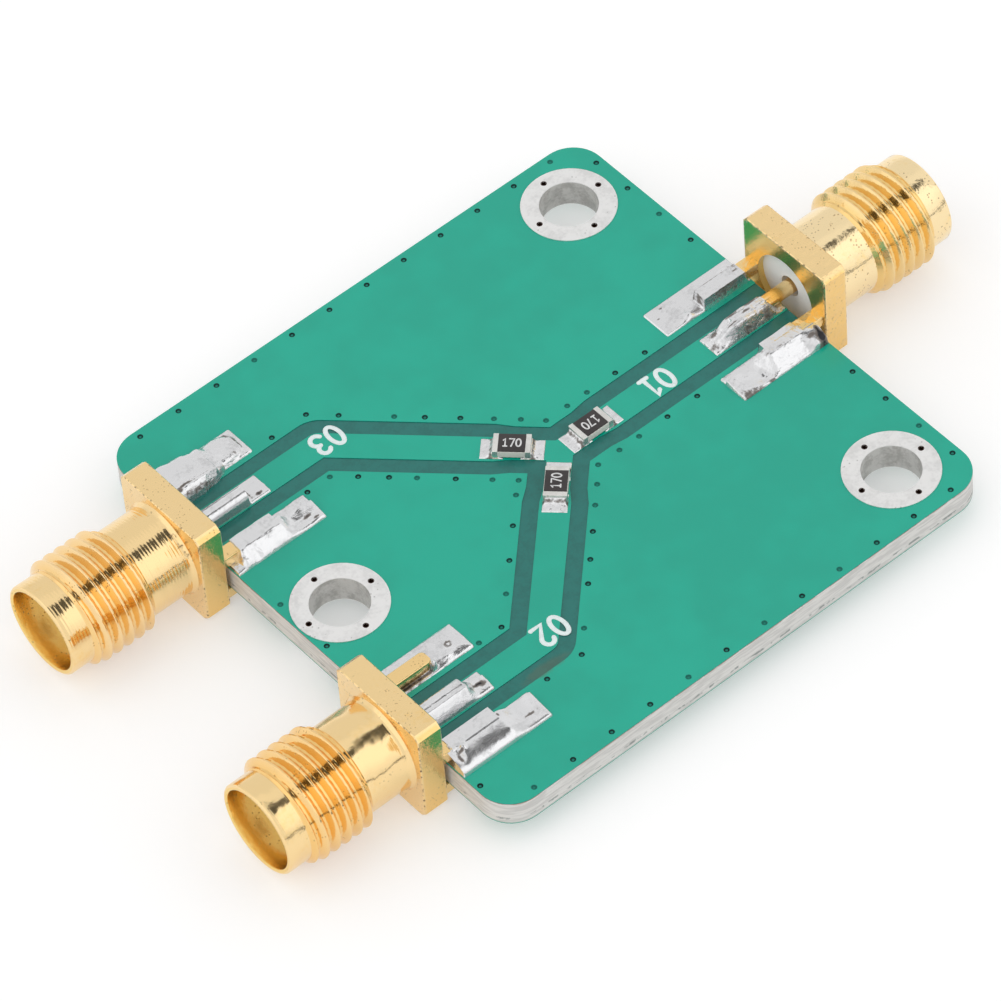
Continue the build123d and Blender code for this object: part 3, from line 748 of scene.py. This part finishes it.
PIN_JOINTS = {
    "input": dict(
        root=0.85, start=0.2, ramp=0.9, skirt=(0.85, 0.95), power=(1.1, 1.1), after=0.0, fall=1.9, dome=0.06,
        wrinkle=0.075, grit=3.0,
        lift=((3.3, -0.3, 0.9, 0.12, 0.10), (4.3, 0.25, 0.4, 0.15, 0.08), (2.2, 0.35, 0.3, 0.2, 0.07)),
        flux=((1.6, 0.40, 0.6, 0.14, 1.2), (2.9, 0.35, 0.4, 0.12, 1.3), (2.2, 0.0, 0.3, 0.1, 1.2),
              (3.3, -0.2, 0.4, 0.07, 1.2), (4.2, 0.25, 0.35, 0.2, 1.0), (2.4, -0.62, 1.2, 0.12, 0.8),
              (4.6, -0.3, 0.3, 0.25, 0.9), (1.2, -0.45, 0.3, 0.3, 0.7))),
    "output_1": dict(
        root=-0.2, start=-0.6, ramp=0.3, skirt=(0.35, 0.95), power=(0.7, 0.8), after=0.30, fall=0.7, dome=0.16,
        reach=0.45, wrinkle=0.016, grit=1.1,
        flux=((4.25, -8.98, 0.42, 0.11, 1.5), (4.5, -9.15, 0.25, 0.12, 0.9), (3.5, -8.5, 0.15, 0.15, 0.6))),
    "output_2": dict(
        root=-0.2, start=-0.6, ramp=0.3, skirt=(0.30, 0.25), power=(1.8, 1.8), after=0.2, fall=0.3, dome=0.08,
        wrinkle=0.008, grit=0.7,
        flux=((4.2, 8.4, 0.25, 0.12, 1.4), (3.75, 8.75, 0.10, 0.45, 0.9))),
}
# The joints under the board
BASE_JOINT = dict(skirt=(0.85, 0.85), after=0.3, wrinkle=0.012, root=0.5)
# Height of a solder surface past its pad, under the mask
SUNK = -0.06


def joint_surface(look, edge_x, inward, level, up, leg_y, tip, half, rise, pad, shape, seed):
    """A solder surface over a pad, as heights over a grid of s, inwards from the board's edge, and y.
    Over the leg it is the leg's height plus the coat, or a circle's arc over a round pin. On each side a skirt
    falls to the pad's rim as full (1 - q)^power, no more than 1, with q the share of the way. It follows a ridge
    that starts at the root, and past the tip sinks and narrows. Under both lies the dome, thickness times
    1 - (1 - r)^2 with r the share of the reach from the rim. The greater height counts. Outside the pad the
    surface dips below the mask, and the underside is closed."""
    shape = {**PLAIN, **shape}
    length, low_y, high_y = pad
    coat, step = look.coat, look.step
    first_y = min(low_y, leg_y - half - 0.1, *(blob[2] - 0.15 for blob in shape["blobs"]))
    last_y = max(high_y, leg_y + half + 0.1, *(blob[3] + 0.15 for blob in shape["blobs"]))
    s, y = np.meshgrid(np.arange(shape["begin"], length + step / 2, step),
                       np.linspace(first_y, last_y, int(round((last_y - first_y) / step)) + 1), indexing="ij")
    t = y - leg_y
    past = ease(tip, tip + shape["fall"], s)
    ridge = ease(shape["start"], shape["start"] + shape["ramp"], s) * (1 - (1 - shape["after"]) * past)
    middle = half * (1 - past)
    room = np.where(t >= 0, high_y - leg_y, leg_y - low_y) - middle
    q = np.clip((np.abs(t) - middle) / np.maximum(room, 0.05), 0, 1)
    power = shape["power"][0] + (shape["power"][1] - shape["power"][0]) * ease(0.6, 1.5, s)
    share = np.where(t >= 0, *shape["skirt"]) * np.where((np.abs(t) < half) & (s < shape["root"]), 0.9, 1.0)
    skirt = -smooth_max(-shape["full"] * (1 - q) ** power, -1.0, 0.05) * rise * share * ridge

    # Distance in from the pad's rim, with its corners rounded, and the dome
    corner = 0.14
    to_end, to_side = length - s, np.minimum(y - low_y, high_y - y)
    rounded = corner - np.hypot(corner - to_end, corner - to_side)
    rim = np.where((to_end < corner) & (to_side < corner), rounded, np.minimum(to_end, to_side))
    dome = shape["dome"] * (1 - (1 - np.clip(rim / shape["reach"], 0, 1)) ** 2)
    body = smooth_max(skirt, dome) + spots(s, y, shape["lift"]) + crumple(s, y, seed, shape["wrinkle"])
    body = np.clip(body, 0, None) * ease(-0.01, 0.09, rim)
    height = np.where(rim > 0, 0.055 * np.sqrt(np.clip(rim / 0.05, 0, 1)) + body, SUNK)

    # The coat over the pin or leg
    over = ease(shape["root"] - 0.1, shape["root"] + 0.12, s) * (1 - ease(tip + 0.02, tip + 0.10, s))
    if shape.get("pin"):
        top = rise - half + np.sqrt(np.clip((half + coat) ** 2 - t ** 2, 0, None))
        over = over * (np.abs(t) < half + coat)
    else:
        top = rise + coat + crumple(s, y, seed + 100, shape["wrinkle"] * 0.8)
        over = over * (1 - ease(half + 0.02, half + 0.08, np.abs(t)))
    height = np.where(over > 0.02, np.maximum(height, top * over), height)
    for blob in shape["blobs"]:
        moved = crumple(s, y, seed + 300, shape["wrinkle"] * 8)
        high = pillow(s + moved, y + moved, *blob)
        folds = crumple(s, y, seed + 200, 3.0) + crumple(s * 2.2, y * 2.2, seed + 400, 1.2)
        high = np.where(high > 0, high + folds * shape["wrinkle"] * ease(0.1, 0.4, high), SUNK)
        height = np.where((high > 0) & (height > 0), smooth_max(height, high, 0.06), np.maximum(height, high))
    height[0, :] = height[-1, :] = height[:, 0] = height[:, -1] = SUNK * 1.5
    points = np.stack([edge_x + inward * s, y, level + up * height], -1).reshape(-1, 3)
    # Brown flux stains, with painted shade in the line along the rim and in the listed lines and strips
    flux = spots(s, y, shape["flux"]) + shape["outline"] * np.exp(-(rim / 0.05) ** 2)
    marks = {"flux": [np.clip(flux, 0, 2.0)], "grit": [np.full(s.shape, shape["grit"])]}
    return (points, [sheet_faces(*s.shape, inward * up > 0)]), marks


class SPLITTER_OT_solder(bpy.types.Operator):
    """Builds the solder of the legs and pins, above and below the board"""

    bl_idname = "splitter.solder"
    bl_label = "Solder"

    def execute(self, context):
        look = context.scene.splitter_solder
        metal = solder_finish(tuple(look.metal_colour))
        for count, (port, side, axis_y, trace_y, gap) in enumerate(PORTS):

            def add(kind, hand, *values):
                part, marks = joint_surface(look, side * BOARD_END, -side, *values)
                make_piece(f"{kind}_joint_{port}{hand}", [part], (metal,), (f"{kind}_solder_{port}{hand}",),
                           sharp=60.0, marks=marks)

            tip = LEG_REACH - gap
            length, half = LEG_PAD
            for hand, across in (("_left", side), ("_right", -side)):
                middle = trace_y + across * PAD_ACROSS
                leg = (axis_y + across * LEG_ACROSS, tip, LEG_HALF, LEG_RISE, (length, middle - half, middle + half))
                seed = 3 * count + (across > 0)
                add("ground", hand, BOARD_TOP, 1, *leg, LEG_JOINTS[port, hand[1:]], seed)
                add("base", hand, BOARD_BOTTOM, -1, *leg, BASE_JOINT, 40 + seed)
            length, half = PIN_PAD
            add("signal", "", BOARD_TOP, 1, axis_y, tip, LEG_HALF, PIN_RISE, (length, trace_y - half, trace_y + half),
                {**PIN_JOINTS[port], "pin": True}, 20 + count)
        return {"FINISHED"}


# ---- The board, its vias and its numbers ----

# Points around a via
VIA_POINTS = 12
# Vias along an edge of the board, how far they lie in from it and from its corners, and how far around the star
# they are faint
EDGE_VIAS, EDGE_IN, CORNER_IN, FAINT_REACH = 12, 0.45, 2.2, 5.4


def branch_point(direction, along, across):
    """Point of the plan, along and across a branch that leaves the star in a direction in degrees."""
    way = math.radians(direction)
    return (STAR + along * math.cos(way) - across * math.sin(way), along * math.sin(way) + across * math.cos(way))


def via_places():
    """Plan places of the vias in the mask: the rim's rows, the fences along the traces and a few by the holes."""
    end, side = BOARD_END, BOARD_SIDE
    places = [(-end + 0.4, 2.0), (-end + 0.4, -1.7), (-end + 0.3, -13.8)]
    for place in range(EDGE_VIAS):
        share = 2 * place / (EDGE_VIAS - 1) - 1
        places += [(share * (end - CORNER_IN), way * (side - EDGE_IN)) for way in (1, -1)]
        # The input connector leaves no room for the middle four of its edge
        if place not in (4, 5, 6, 7):
            places.append((end - EDGE_IN, share * (side - CORNER_IN)))
    for way in (1, -1):
        places += [branch_point(0, along, way * FENCE) for along in (0.8, 2.25, 3.6, 5.55, 7.6)]
        places += [branch_point(way * 135, along, -way * FENCE) for along in (2.2, 3.6, 5.35, 7.2, 8.8, 11.7)]
        places += [(x, way * (ROW + FENCE)) for x in (-6.8, -9.1)]
        places += [(x, way * (ROW - FENCE)) for x in (-8.6, -10.1)]
    places += [branch_point(-135, along, -FENCE) for along in (3.05, 5.1, 7.4, 9.6)]
    places += [branch_point(135, along, FENCE) for along in (2.0, 3.35, 5.25, 7.25, 8.7, 10.3)]
    return np.array(places)


def funnels(places, top, bottom, rim, bore, lift, dimpled):
    """Vias through the board at each place, as radius and height around circles, closed all round. A dimpled one
    is a rounded ring on each face about a shallow dimple, whose middle its first and last circle close. The
    other kind is an eyelet: a ring on each face that turns down into a throat, and an outer wall inside the
    board. The second result is how dark the mask is: 1 on the dimpled rings, less at their rim and middle."""
    turn = np.linspace(0, math.tau, VIA_POINTS, endpoint=False)
    if dimpled:
        radius = np.array([0.012, bore * 0.55, bore * 0.95, bore * 1.2, rim * 0.93, rim])
        drop = np.array([-0.045, -0.05, -0.035, lift, lift, 0.0])
        dark = np.array([0.0, 0.12, 1.0, 1.0, 1.0, 0.6])
    else:
        radius = np.array([rim, rim * 0.93, rim * 0.75, bore * 1.35, bore, bore * 0.95])
        drop = np.array([0.0, lift, lift * 1.2, lift * 0.5, -0.08, -0.4])
        dark = np.zeros(6)
    height = np.r_[top + drop, bottom - drop[::-1]]
    radius, dark = np.r_[radius, radius[::-1]], np.r_[dark, dark[::-1]]
    ring = np.stack([np.outer(radius, np.cos(turn)), np.outer(radius, np.sin(turn)),
                     np.broadcast_to(height[:, None], (len(radius), VIA_POINTS))], -1)
    points = ring[None] + np.concatenate([places, np.zeros((len(places), 1))], 1)[:, None, None, :]
    one = grid_faces(len(radius), VIA_POINTS, wrap_rows=not dimpled, wrap_columns=True, flip=dimpled)
    each = VIA_POINTS * len(radius)
    starts, circle = np.arange(len(places))[:, None] * each, np.arange(VIA_POINTS)
    faces = [*(one[None] + starts[:, :, None]).reshape(-1, 4)]
    if dimpled:
        faces += [*(starts + circle), *(starts + each - 1 - circle)]
    return (points.reshape(-1, 3), [faces]), np.tile(np.repeat(dark, VIA_POINTS), len(places))


def arc(middle_x, middle_y, wide, tall, start, end, count):
    """Points of an ellipse's arc, by angle in degrees."""
    turn = np.radians(np.linspace(start, end, count))
    return list(zip(middle_x + wide * np.cos(turn), middle_y + tall * np.sin(turn)))


# Strokes of plain digits on a box one wide and two high, as runs of points
DIGITS = {
    "0": [arc(0.5, 1.0, 0.5, 1.0, 90, 450, 25)],
    "1": [[(0.12, 1.6), (0.5, 1.98), (0.5, 0.0)], [(0.12, 0.0), (0.88, 0.0)]],
    "2": [arc(0.5, 1.48, 0.47, 0.52, 165, -38, 11) + [(0.02, 0.0), (1.0, 0.0)]],
    "3": [arc(0.46, 1.52, 0.45, 0.48, 150, -85, 10), arc(0.46, 0.53, 0.52, 0.53, 85, -155, 12)],
    "7": [[(0.0, 2.0), (1.0, 2.0), (0.38, 0.0)]],
}


def stroke_surface(run, width, thick):
    """A printed stroke: a flat band of one width along a run of points, its corners mitred, its ends half round,
    its rim drawn down to the board, closed below and at its ends. It thickens a little along the run, so that
    where a run meets itself one end lies on the other. The band's edge is the run moved by half the width along
    the mean normal of its two legs, over the cosine of half the turn."""
    leg = np.diff(run, axis=0)
    leg /= np.linalg.norm(leg, axis=1)[:, None]
    after = np.r_[leg, leg[-1:]]
    mean = np.r_[leg[:1], leg] + after
    mean /= np.linalg.norm(mean, axis=1)[:, None]
    miter = 1 / np.maximum(np.sum(mean * after, axis=1), 0.78)
    normal = np.stack([-mean[:, 1], mean[:, 0]], -1)
    cap = np.array([0.0, 0.5, 0.85, 1.0])
    first = run[0] - leg[0] * (width / 2) * cap[::-1, None]
    last = run[-1] + leg[-1] * (width / 2) * cap[:, None]
    spine = np.concatenate([first[:-1], run, last[1:]])
    half = np.concatenate([np.sqrt(1 - cap[::-1] ** 2)[:-1] * width / 2, miter * width / 2,
                           np.sqrt(1 - cap ** 2)[1:] * width / 2])
    half = np.maximum(half, 0.004)
    side = np.concatenate([np.repeat(normal[:1], 3, 0), normal, np.repeat(normal[-1:], 3, 0)])
    offsets = np.array([-1.0, -0.86, 0.0, 0.86, 1.0])
    rise = np.linspace(1.0, 1.25, len(spine))[:, None] * thick
    plan = spine[:, None, :] + side[:, None, :] * (half[:, None] * offsets)[:, :, None]
    z = rise * np.array([0.0, 1.0, 1.0, 1.0, 0.0])
    points = np.concatenate([plan, z[:, :, None]], -1).reshape(-1, 3)
    around = np.arange(len(offsets))
    faces = grid_faces(len(spine), len(offsets), wrap_columns=True, flip=True)
    return points, [*faces, around, len(points) - 1 - around]


def number_parts(text, height, stroke, thick, spacing=0.86):
    """The strokes of a number about its own middle, on the plane z = 0, turned half round so that its top is
    towards -Y. A digit's second stroke is a little thicker, and so lies over the first."""
    wide = height * 0.5
    step = wide * (1 + spacing * 0.55)
    parts = []
    for place, digit in enumerate(text):
        left = (place - (len(text) - 1) / 2) * step - wide / 2
        for count, run in enumerate(DIGITS[digit]):
            scaled = np.array(run) * (wide, height / 2) + (left, -height / 2)
            points, faces = stroke_surface(scaled, stroke, thick * (1 + 0.3 * count))
            parts.append((turned(points, 180, (0, 0, 0)), [faces]))
    return parts


class SPLITTER_OT_board(bpy.types.Operator):
    """Finishes the board and its tinned rings, and builds the vias' rings and throats and the printed numbers"""

    bl_idname = "splitter.board"
    bl_label = "Board, vias and numbers"

    def execute(self, context):
        look = context.scene.splitter_board
        dress(board_finish(look), "circuit_board")
        tin = tin_finish("tin_ring", (0.875, 0.87, 0.86), 0.36)
        dress(tin, *(f"hole_plating_{number}" for number in range(1, len(HOLES) + 1)))

        places = via_places()
        part, dark = funnels(places, BOARD_TOP, BOARD_BOTTOM, look.via_rim, look.via_bore, lift=0.010, dimpled=True)
        # The vias about the star are faint, and so is every fourth of all
        faint = np.hypot(places[:, 0] - STAR, places[:, 1]) < FAINT_REACH
        faint[::4] = True
        dark *= np.repeat(np.where(faint, 0.45, 1.0), len(dark) // len(places))
        make_piece("via_rings", [part], (via_finish(),), sharp=80.0, marks={"dark": [dark]})

        ring = np.array([(x + FENCE * math.cos(way), y + FENCE * math.sin(way)) for x, y in HOLES
                         for way in (0, math.pi / 2, math.pi, 1.5 * math.pi)])
        rise = PAD_RISE + 0.002
        part, _ = funnels(ring, BOARD_TOP + rise, BOARD_BOTTOM - rise, rim=0.17, bore=0.11, lift=0.004, dimpled=False)
        throat = plain_finish("ring_via", (0.05, 0.022, 0.014), 0.35, metal=0.6)
        make_piece("ring_via_throats", [part], (throat,), sharp=80.0)

        ink = plain_finish("ink", tuple(look.ink_colour), 0.5, shift=0.90, coarse=2500.0)
        parts = [(points + (x, y, BOARD_TOP), faces)
                 for text, x, y in (("01", 7.95, 0.02), ("02", -6.9, -8.72), ("03", -7.1, 8.82))
                 for points, faces in number_parts(text, look.digit_height, look.stroke, thick=0.022)]
        make_piece("port_numbers", parts, (ink,), sharp=80.0)
        return {"FINISHED"}


# ---- Resistors ----

# A chip's pads: length along the branch, half width, distance from the chip's middle and grid
CHIP_PAD, CHIP_PAD_HALF, CHIP_PAD_START, CHIP_GRID = 1.25, 0.675, 0.44, (34, 36)


def rounded_box(size, radius):
    """A box with rounded edges: a sphere's directions, each moved to the box's core corner, so that a point is
    the core's half size times the sign of its direction, plus the radius times the direction."""
    flat = np.r_[-1.0, np.tan(np.linspace(-math.pi / 4, math.pi / 4, 10)[1:-1]), 1.0]
    u, v = np.meshgrid(flat, flat, indexing="ij")
    core = np.array(size) / 2 - radius
    points, faces = [], []
    for axis in range(3):
        for way in (1, -1):
            direction = np.zeros((*u.shape, 3))
            direction[..., axis] = way
            direction[..., (axis + 1) % 3] = u
            direction[..., (axis + 2) % 3] = v * way
            unit = direction / np.linalg.norm(direction, axis=-1, keepdims=True)
            faces.append(grid_faces(*u.shape, flip=True) + u.size * len(points))
            points.append((np.sign(direction) * core + unit * radius).reshape(-1, 3))
    return np.concatenate(points), np.concatenate(faces)


def chip_joint(end, seed):
    """Solder of one pad of a chip, as heights over a grid of s, outwards from under the cap, and t across. It
    climbs the cap as a hollow slope (1 - q)^2, with two low swellings outside it, wrinkles and a round rim, and
    is closed below. Flux with painted shade lies along the rim and at the cap's foot, where the solder meets the cap."""
    along, across = np.linspace(0, CHIP_PAD, CHIP_GRID[0]), np.linspace(-CHIP_PAD_HALF, CHIP_PAD_HALF, CHIP_GRID[1])
    s, t = np.meshgrid(along, across, indexing="ij")
    rim = np.minimum(np.minimum(s, CHIP_PAD - s), CHIP_PAD_HALF - np.abs(t))
    outer = np.clip((s - 0.56) / 0.5, 0, 1)
    climb = 0.33 * (1 - outer) ** 2 * (s > 0.2) * (1 - ease(0.50, 0.66, np.abs(t)))
    dome = 0.06 * (np.exp(-((s - 1.0) / 0.13) ** 2) * np.exp(-((np.abs(t) - 0.27) / 0.17) ** 2))
    high = 0.05 * np.sqrt(np.clip(rim / 0.05, 0, 1)) + (climb + dome) * ease(0, 0.12, rim)
    high += crumple(s, t, seed, 0.03) * ease(0, 0.2, rim)
    high[0, :] = high[-1, :] = high[:, 0] = high[:, -1] = -0.02
    points = np.stack([end * (s + CHIP_PAD_START), t, high - PAD_RISE], -1).reshape(-1, 3)
    # Flux with painted shade at the cap's foot, where the solder meets the cap
    foot = 0.85 * np.exp(-((s - 0.67) / 0.12) ** 2) * (1 - 0.35 * np.exp(-(t / 0.2) ** 2))
    return points, sheet_faces(*CHIP_GRID, end > 0), 0.6 * np.exp(-(rim / 0.05) ** 2) + foot


class SPLITTER_OT_resistors(bpy.types.Operator):
    """Builds the three chip resistors with their caps, overcoat, marks and solder"""

    bl_idname = "splitter.resistors"
    bl_label = "Chip resistors"

    def execute(self, context):
        look = context.scene.splitter_chip
        ceramic = plain_finish("alumina", (0.74, 0.73, 0.68), 0.40, shift=0.90)
        overcoat = plain_finish("overcoat", tuple(look.film_colour), 0.30, shift=0.7, relief=6e-6)
        tin = tin_finish("cap_tin", (0.80, 0.79, 0.76), 0.34)
        mark = plain_finish("chip_mark", (0.78, 0.78, 0.78), 0.5, shift=0.75, coarse=4000.0)
        metal = bpy.data.materials["bright_solder"]
        length, width, height, wrap = look.length, look.width, look.height, look.wrap
        cap_x = (length - wrap) / 2
        # Piece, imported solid, material, slot, size, radius of the edges, and middles along the chip and in height
        boxes = (
            ("core", "body", ceramic, "chip_ceramic", (length - 0.1, width, height - 0.1), 0.02, (0,), height / 2),
            ("film", "film", overcoat, "chip_overcoat", (length - 2 * wrap, width - 0.06, 0.07), 0.025, (0,),
             height - 0.025),
            ("caps", "caps", tin, "chip_terminal", (wrap, width + 0.02, height), 0.045, (cap_x, -cap_x), height / 2),
        )
        for count, (port, direction, distance) in enumerate(CHIPS):
            x, y = branch_point(direction, distance, 0)

            def placed(points, z=0.0):
                return turned(points, direction, (x, y, BOARD_TOP + PAD_RISE + z))

            for kind, solid, material, slot, size, radius, middles, z in boxes:
                points, faces = rounded_box(size, radius)
                parts = [(placed(points + (middle, 0, 0), z), [faces]) for middle in middles]
                make_piece(f"chip_{kind}_{port}", parts, (material,), (f"resistor_{solid}_{port}",))
            strokes = [(placed(points, height + 0.0105), faces)
                       for points, faces in number_parts("170", height=0.50, stroke=0.088, thick=0.004, spacing=0.7)]
            make_piece(f"chip_number_{port}", strokes, (mark,), sharp=80.0)
            # Each pad's stains: flux, with painted shade along its rim and at the cap's foot
            pads, dirt_and_shade = [], []
            for end in (1, -1):
                points, faces, stain_and_shade = chip_joint(end, 60 + count * 2 + end)
                pads.append((placed(points), [faces]))
                dirt_and_shade.append(stain_and_shade)
            marks = {"flux": dirt_and_shade, "grit": [np.full(stain_and_shade.shape, 0.9) for stain_and_shade in dirt_and_shade]}
            make_piece(f"chip_joint_{port}", pads, (metal,), (f"resistor_solder_{port}",), sharp=60.0,
                       marks=marks)
        return {"FINISHED"}


# ---- Stage ----

# The camera that was fitted to the photograph: sensor and lens in millimetres, place in metres, turn in degrees
SENSOR, LENS = 36.0, 255.986
CAMERA_PLACE, CAMERA_TURN = (-0.143426, -0.189416, 0.281713), (40.03238, 3.30097, -40.49449)
# Half the floor's side in metres, and how strongly it glows to the camera and in reflections
FLOOR_REACH, CAMERA_GLOW, REFLECTED_GLOW = 3.0, 0.34, 0.32


class SPLITTER_OT_stage(bpy.types.Operator):
    """Lays the floor, sets the lights and the world, and places the camera"""

    bl_idname = "splitter.stage"
    bl_label = "Stage"

    def execute(self, context):
        look = context.scene.splitter_studio
        scene = context.scene
        scene.view_settings.view_transform = "Standard"

        reach = FLOOR_REACH
        mesh = bpy.data.meshes.new("floor")
        mesh.from_pydata([(-reach, -reach, 0), (reach, -reach, 0), (reach, reach, 0), (-reach, reach, 0)], [],
                         [(0, 1, 2, 3)])
        floor = bpy.data.objects.new("floor", mesh)
        scene.collection.objects.link(floor)
        material = bpy.data.materials.new("floor")
        material.use_nodes = True
        nodes = material.node_tree.nodes
        nodes.clear()
        rays = nodes.new("ShaderNodeLightPath").outputs
        seen = Value(rays["Is Camera Ray"]) * CAMERA_GLOW + Value(rays["Is Glossy Ray"]) * REFLECTED_GLOW
        matt = seen.node("BsdfDiffuse", {"Color": (0.74, 0.74, 0.74)})
        glow = seen.node("Emission", {"Color": (1, 1, 1), "Strength": seen})
        out = nodes.new("ShaderNodeOutputMaterial")
        feed(out.inputs["Surface"], seen.node("AddShader", {0: matt, 1: glow}))
        mesh.materials.append(material)

        world = bpy.data.worlds.new("studio")
        world.use_nodes = True
        scene.world = world
        nodes = world.node_tree.nodes
        way = Value(nodes.new("ShaderNodeTexCoord").outputs["Generated"])
        height = way.maths("ARCSINE", way.axis("Z"))
        around = way.maths("ARCTAN2", way.axis("Y"), way.axis("X"))

        def window(turn, climb):
            """A soft patch of the sky: its lowest and highest angle in degrees and their softness, both for an
            angle around, which comes first, and for the height."""
            masks = []
            for angle, (low, high, soft) in ((turn[0], turn[1:]), (height, climb)):
                low, high, soft = math.radians(low), math.radians(high), math.radians(soft)
                masks.append(angle.ramp(low - soft, low + soft) * angle.ramp(high - soft, high + soft, 1.0, 0.0))
            return masks[0] * masks[1]

        # A darker stretch of sky behind the object, seen from the camera, and a brighter one past the outputs
        level = window((around, 25, 110, 15), (8, 62, 5)) * -0.08 + look.sky
        level = window((abs(around), 140, 400, 8), (3, 62, 6)) * 0.22 + level
        # The softbox, and the unlit gaps over and under it
        full = height.ramp(math.radians(4), math.radians(38), look.softbox * 0.8, look.softbox)
        for mask, strength in ((window((around, -82, -30, 2), (3.5, 58.5, 0.8)), full),
                               (window((around, -82, -9, 4), (59.5, 200, 1.2)), look.gap),
                               (window((around, -100, -22, 3), (-40, 3.4, 0.5)), look.gap)):
            level = mask * (strength - level) + level
        camera_ray = Value(nodes.new("ShaderNodeLightPath").outputs["Is Camera Ray"])
        background = nodes["Background"].inputs
        feed(background["Color"], (1, 1, 1))
        feed(background["Strength"], way.maths("MAXIMUM", level, camera_ray))
        world.cycles.sampling_method = "MANUAL"
        world.cycles.sample_map_resolution = 512

        camera_data = bpy.data.cameras.new("camera")
        camera_data.sensor_width, camera_data.lens = SENSOR, LENS
        camera_data.clip_start, camera_data.clip_end = 0.01, 10.0
        camera = bpy.data.objects.new("camera", camera_data)
        camera.location = CAMERA_PLACE
        camera.rotation_euler = tuple(math.radians(turn) for turn in CAMERA_TURN)
        scene.collection.objects.link(camera)
        scene.camera = camera
        return {"FINISHED"}


LOOKS = {
    "splitter_board": BoardLook,
    "splitter_connector": ConnectorLook,
    "splitter_solder": SolderLook,
    "splitter_chip": ChipLook,
    "splitter_studio": StudioLook,
}
# In the order of their looks, which is also the order they run in
OPERATORS = (SPLITTER_OT_board, SPLITTER_OT_connectors, SPLITTER_OT_solder, SPLITTER_OT_resistors, SPLITTER_OT_stage)


class SPLITTER_PT_sidebar(bpy.types.Panel):
    """Lists the splitter's operators and values"""

    bl_idname = "SPLITTER_PT_sidebar"
    bl_label = "Power splitter"
    bl_space_type = "VIEW_3D"
    bl_region_type = "UI"
    bl_category = "Splitter"

    def draw(self, context):
        for operator, group in zip(OPERATORS, LOOKS):
            box = self.layout.box()
            box.operator(operator.bl_idname)
            values = getattr(context.scene, group)
            for key in values.__annotations__:
                box.prop(values, key)


def register():
    """Registers the classes and hangs their values on the scene."""
    for value in (*LOOKS.values(), *OPERATORS, SPLITTER_PT_sidebar):
        bpy.utils.register_class(value)
    for key, value in LOOKS.items():
        setattr(bpy.types.Scene, key, bpy.props.PointerProperty(type=value))


def unregister():
    """Takes the values off the scene and unregisters the classes."""
    for key in LOOKS:
        delattr(bpy.types.Scene, key)
    for value in reversed((*LOOKS.values(), *OPERATORS, SPLITTER_PT_sidebar)):
        bpy.utils.unregister_class(value)


def main():
    """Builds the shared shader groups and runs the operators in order."""
    register()
    for make in (mottle_group, pits_group, turning_group):
        make()
    bpy.ops.splitter.board()
    bpy.ops.splitter.connectors()
    bpy.ops.splitter.solder()
    bpy.ops.splitter.resistors()
    bpy.ops.splitter.stage()


if __name__ == "__main__":
    main()
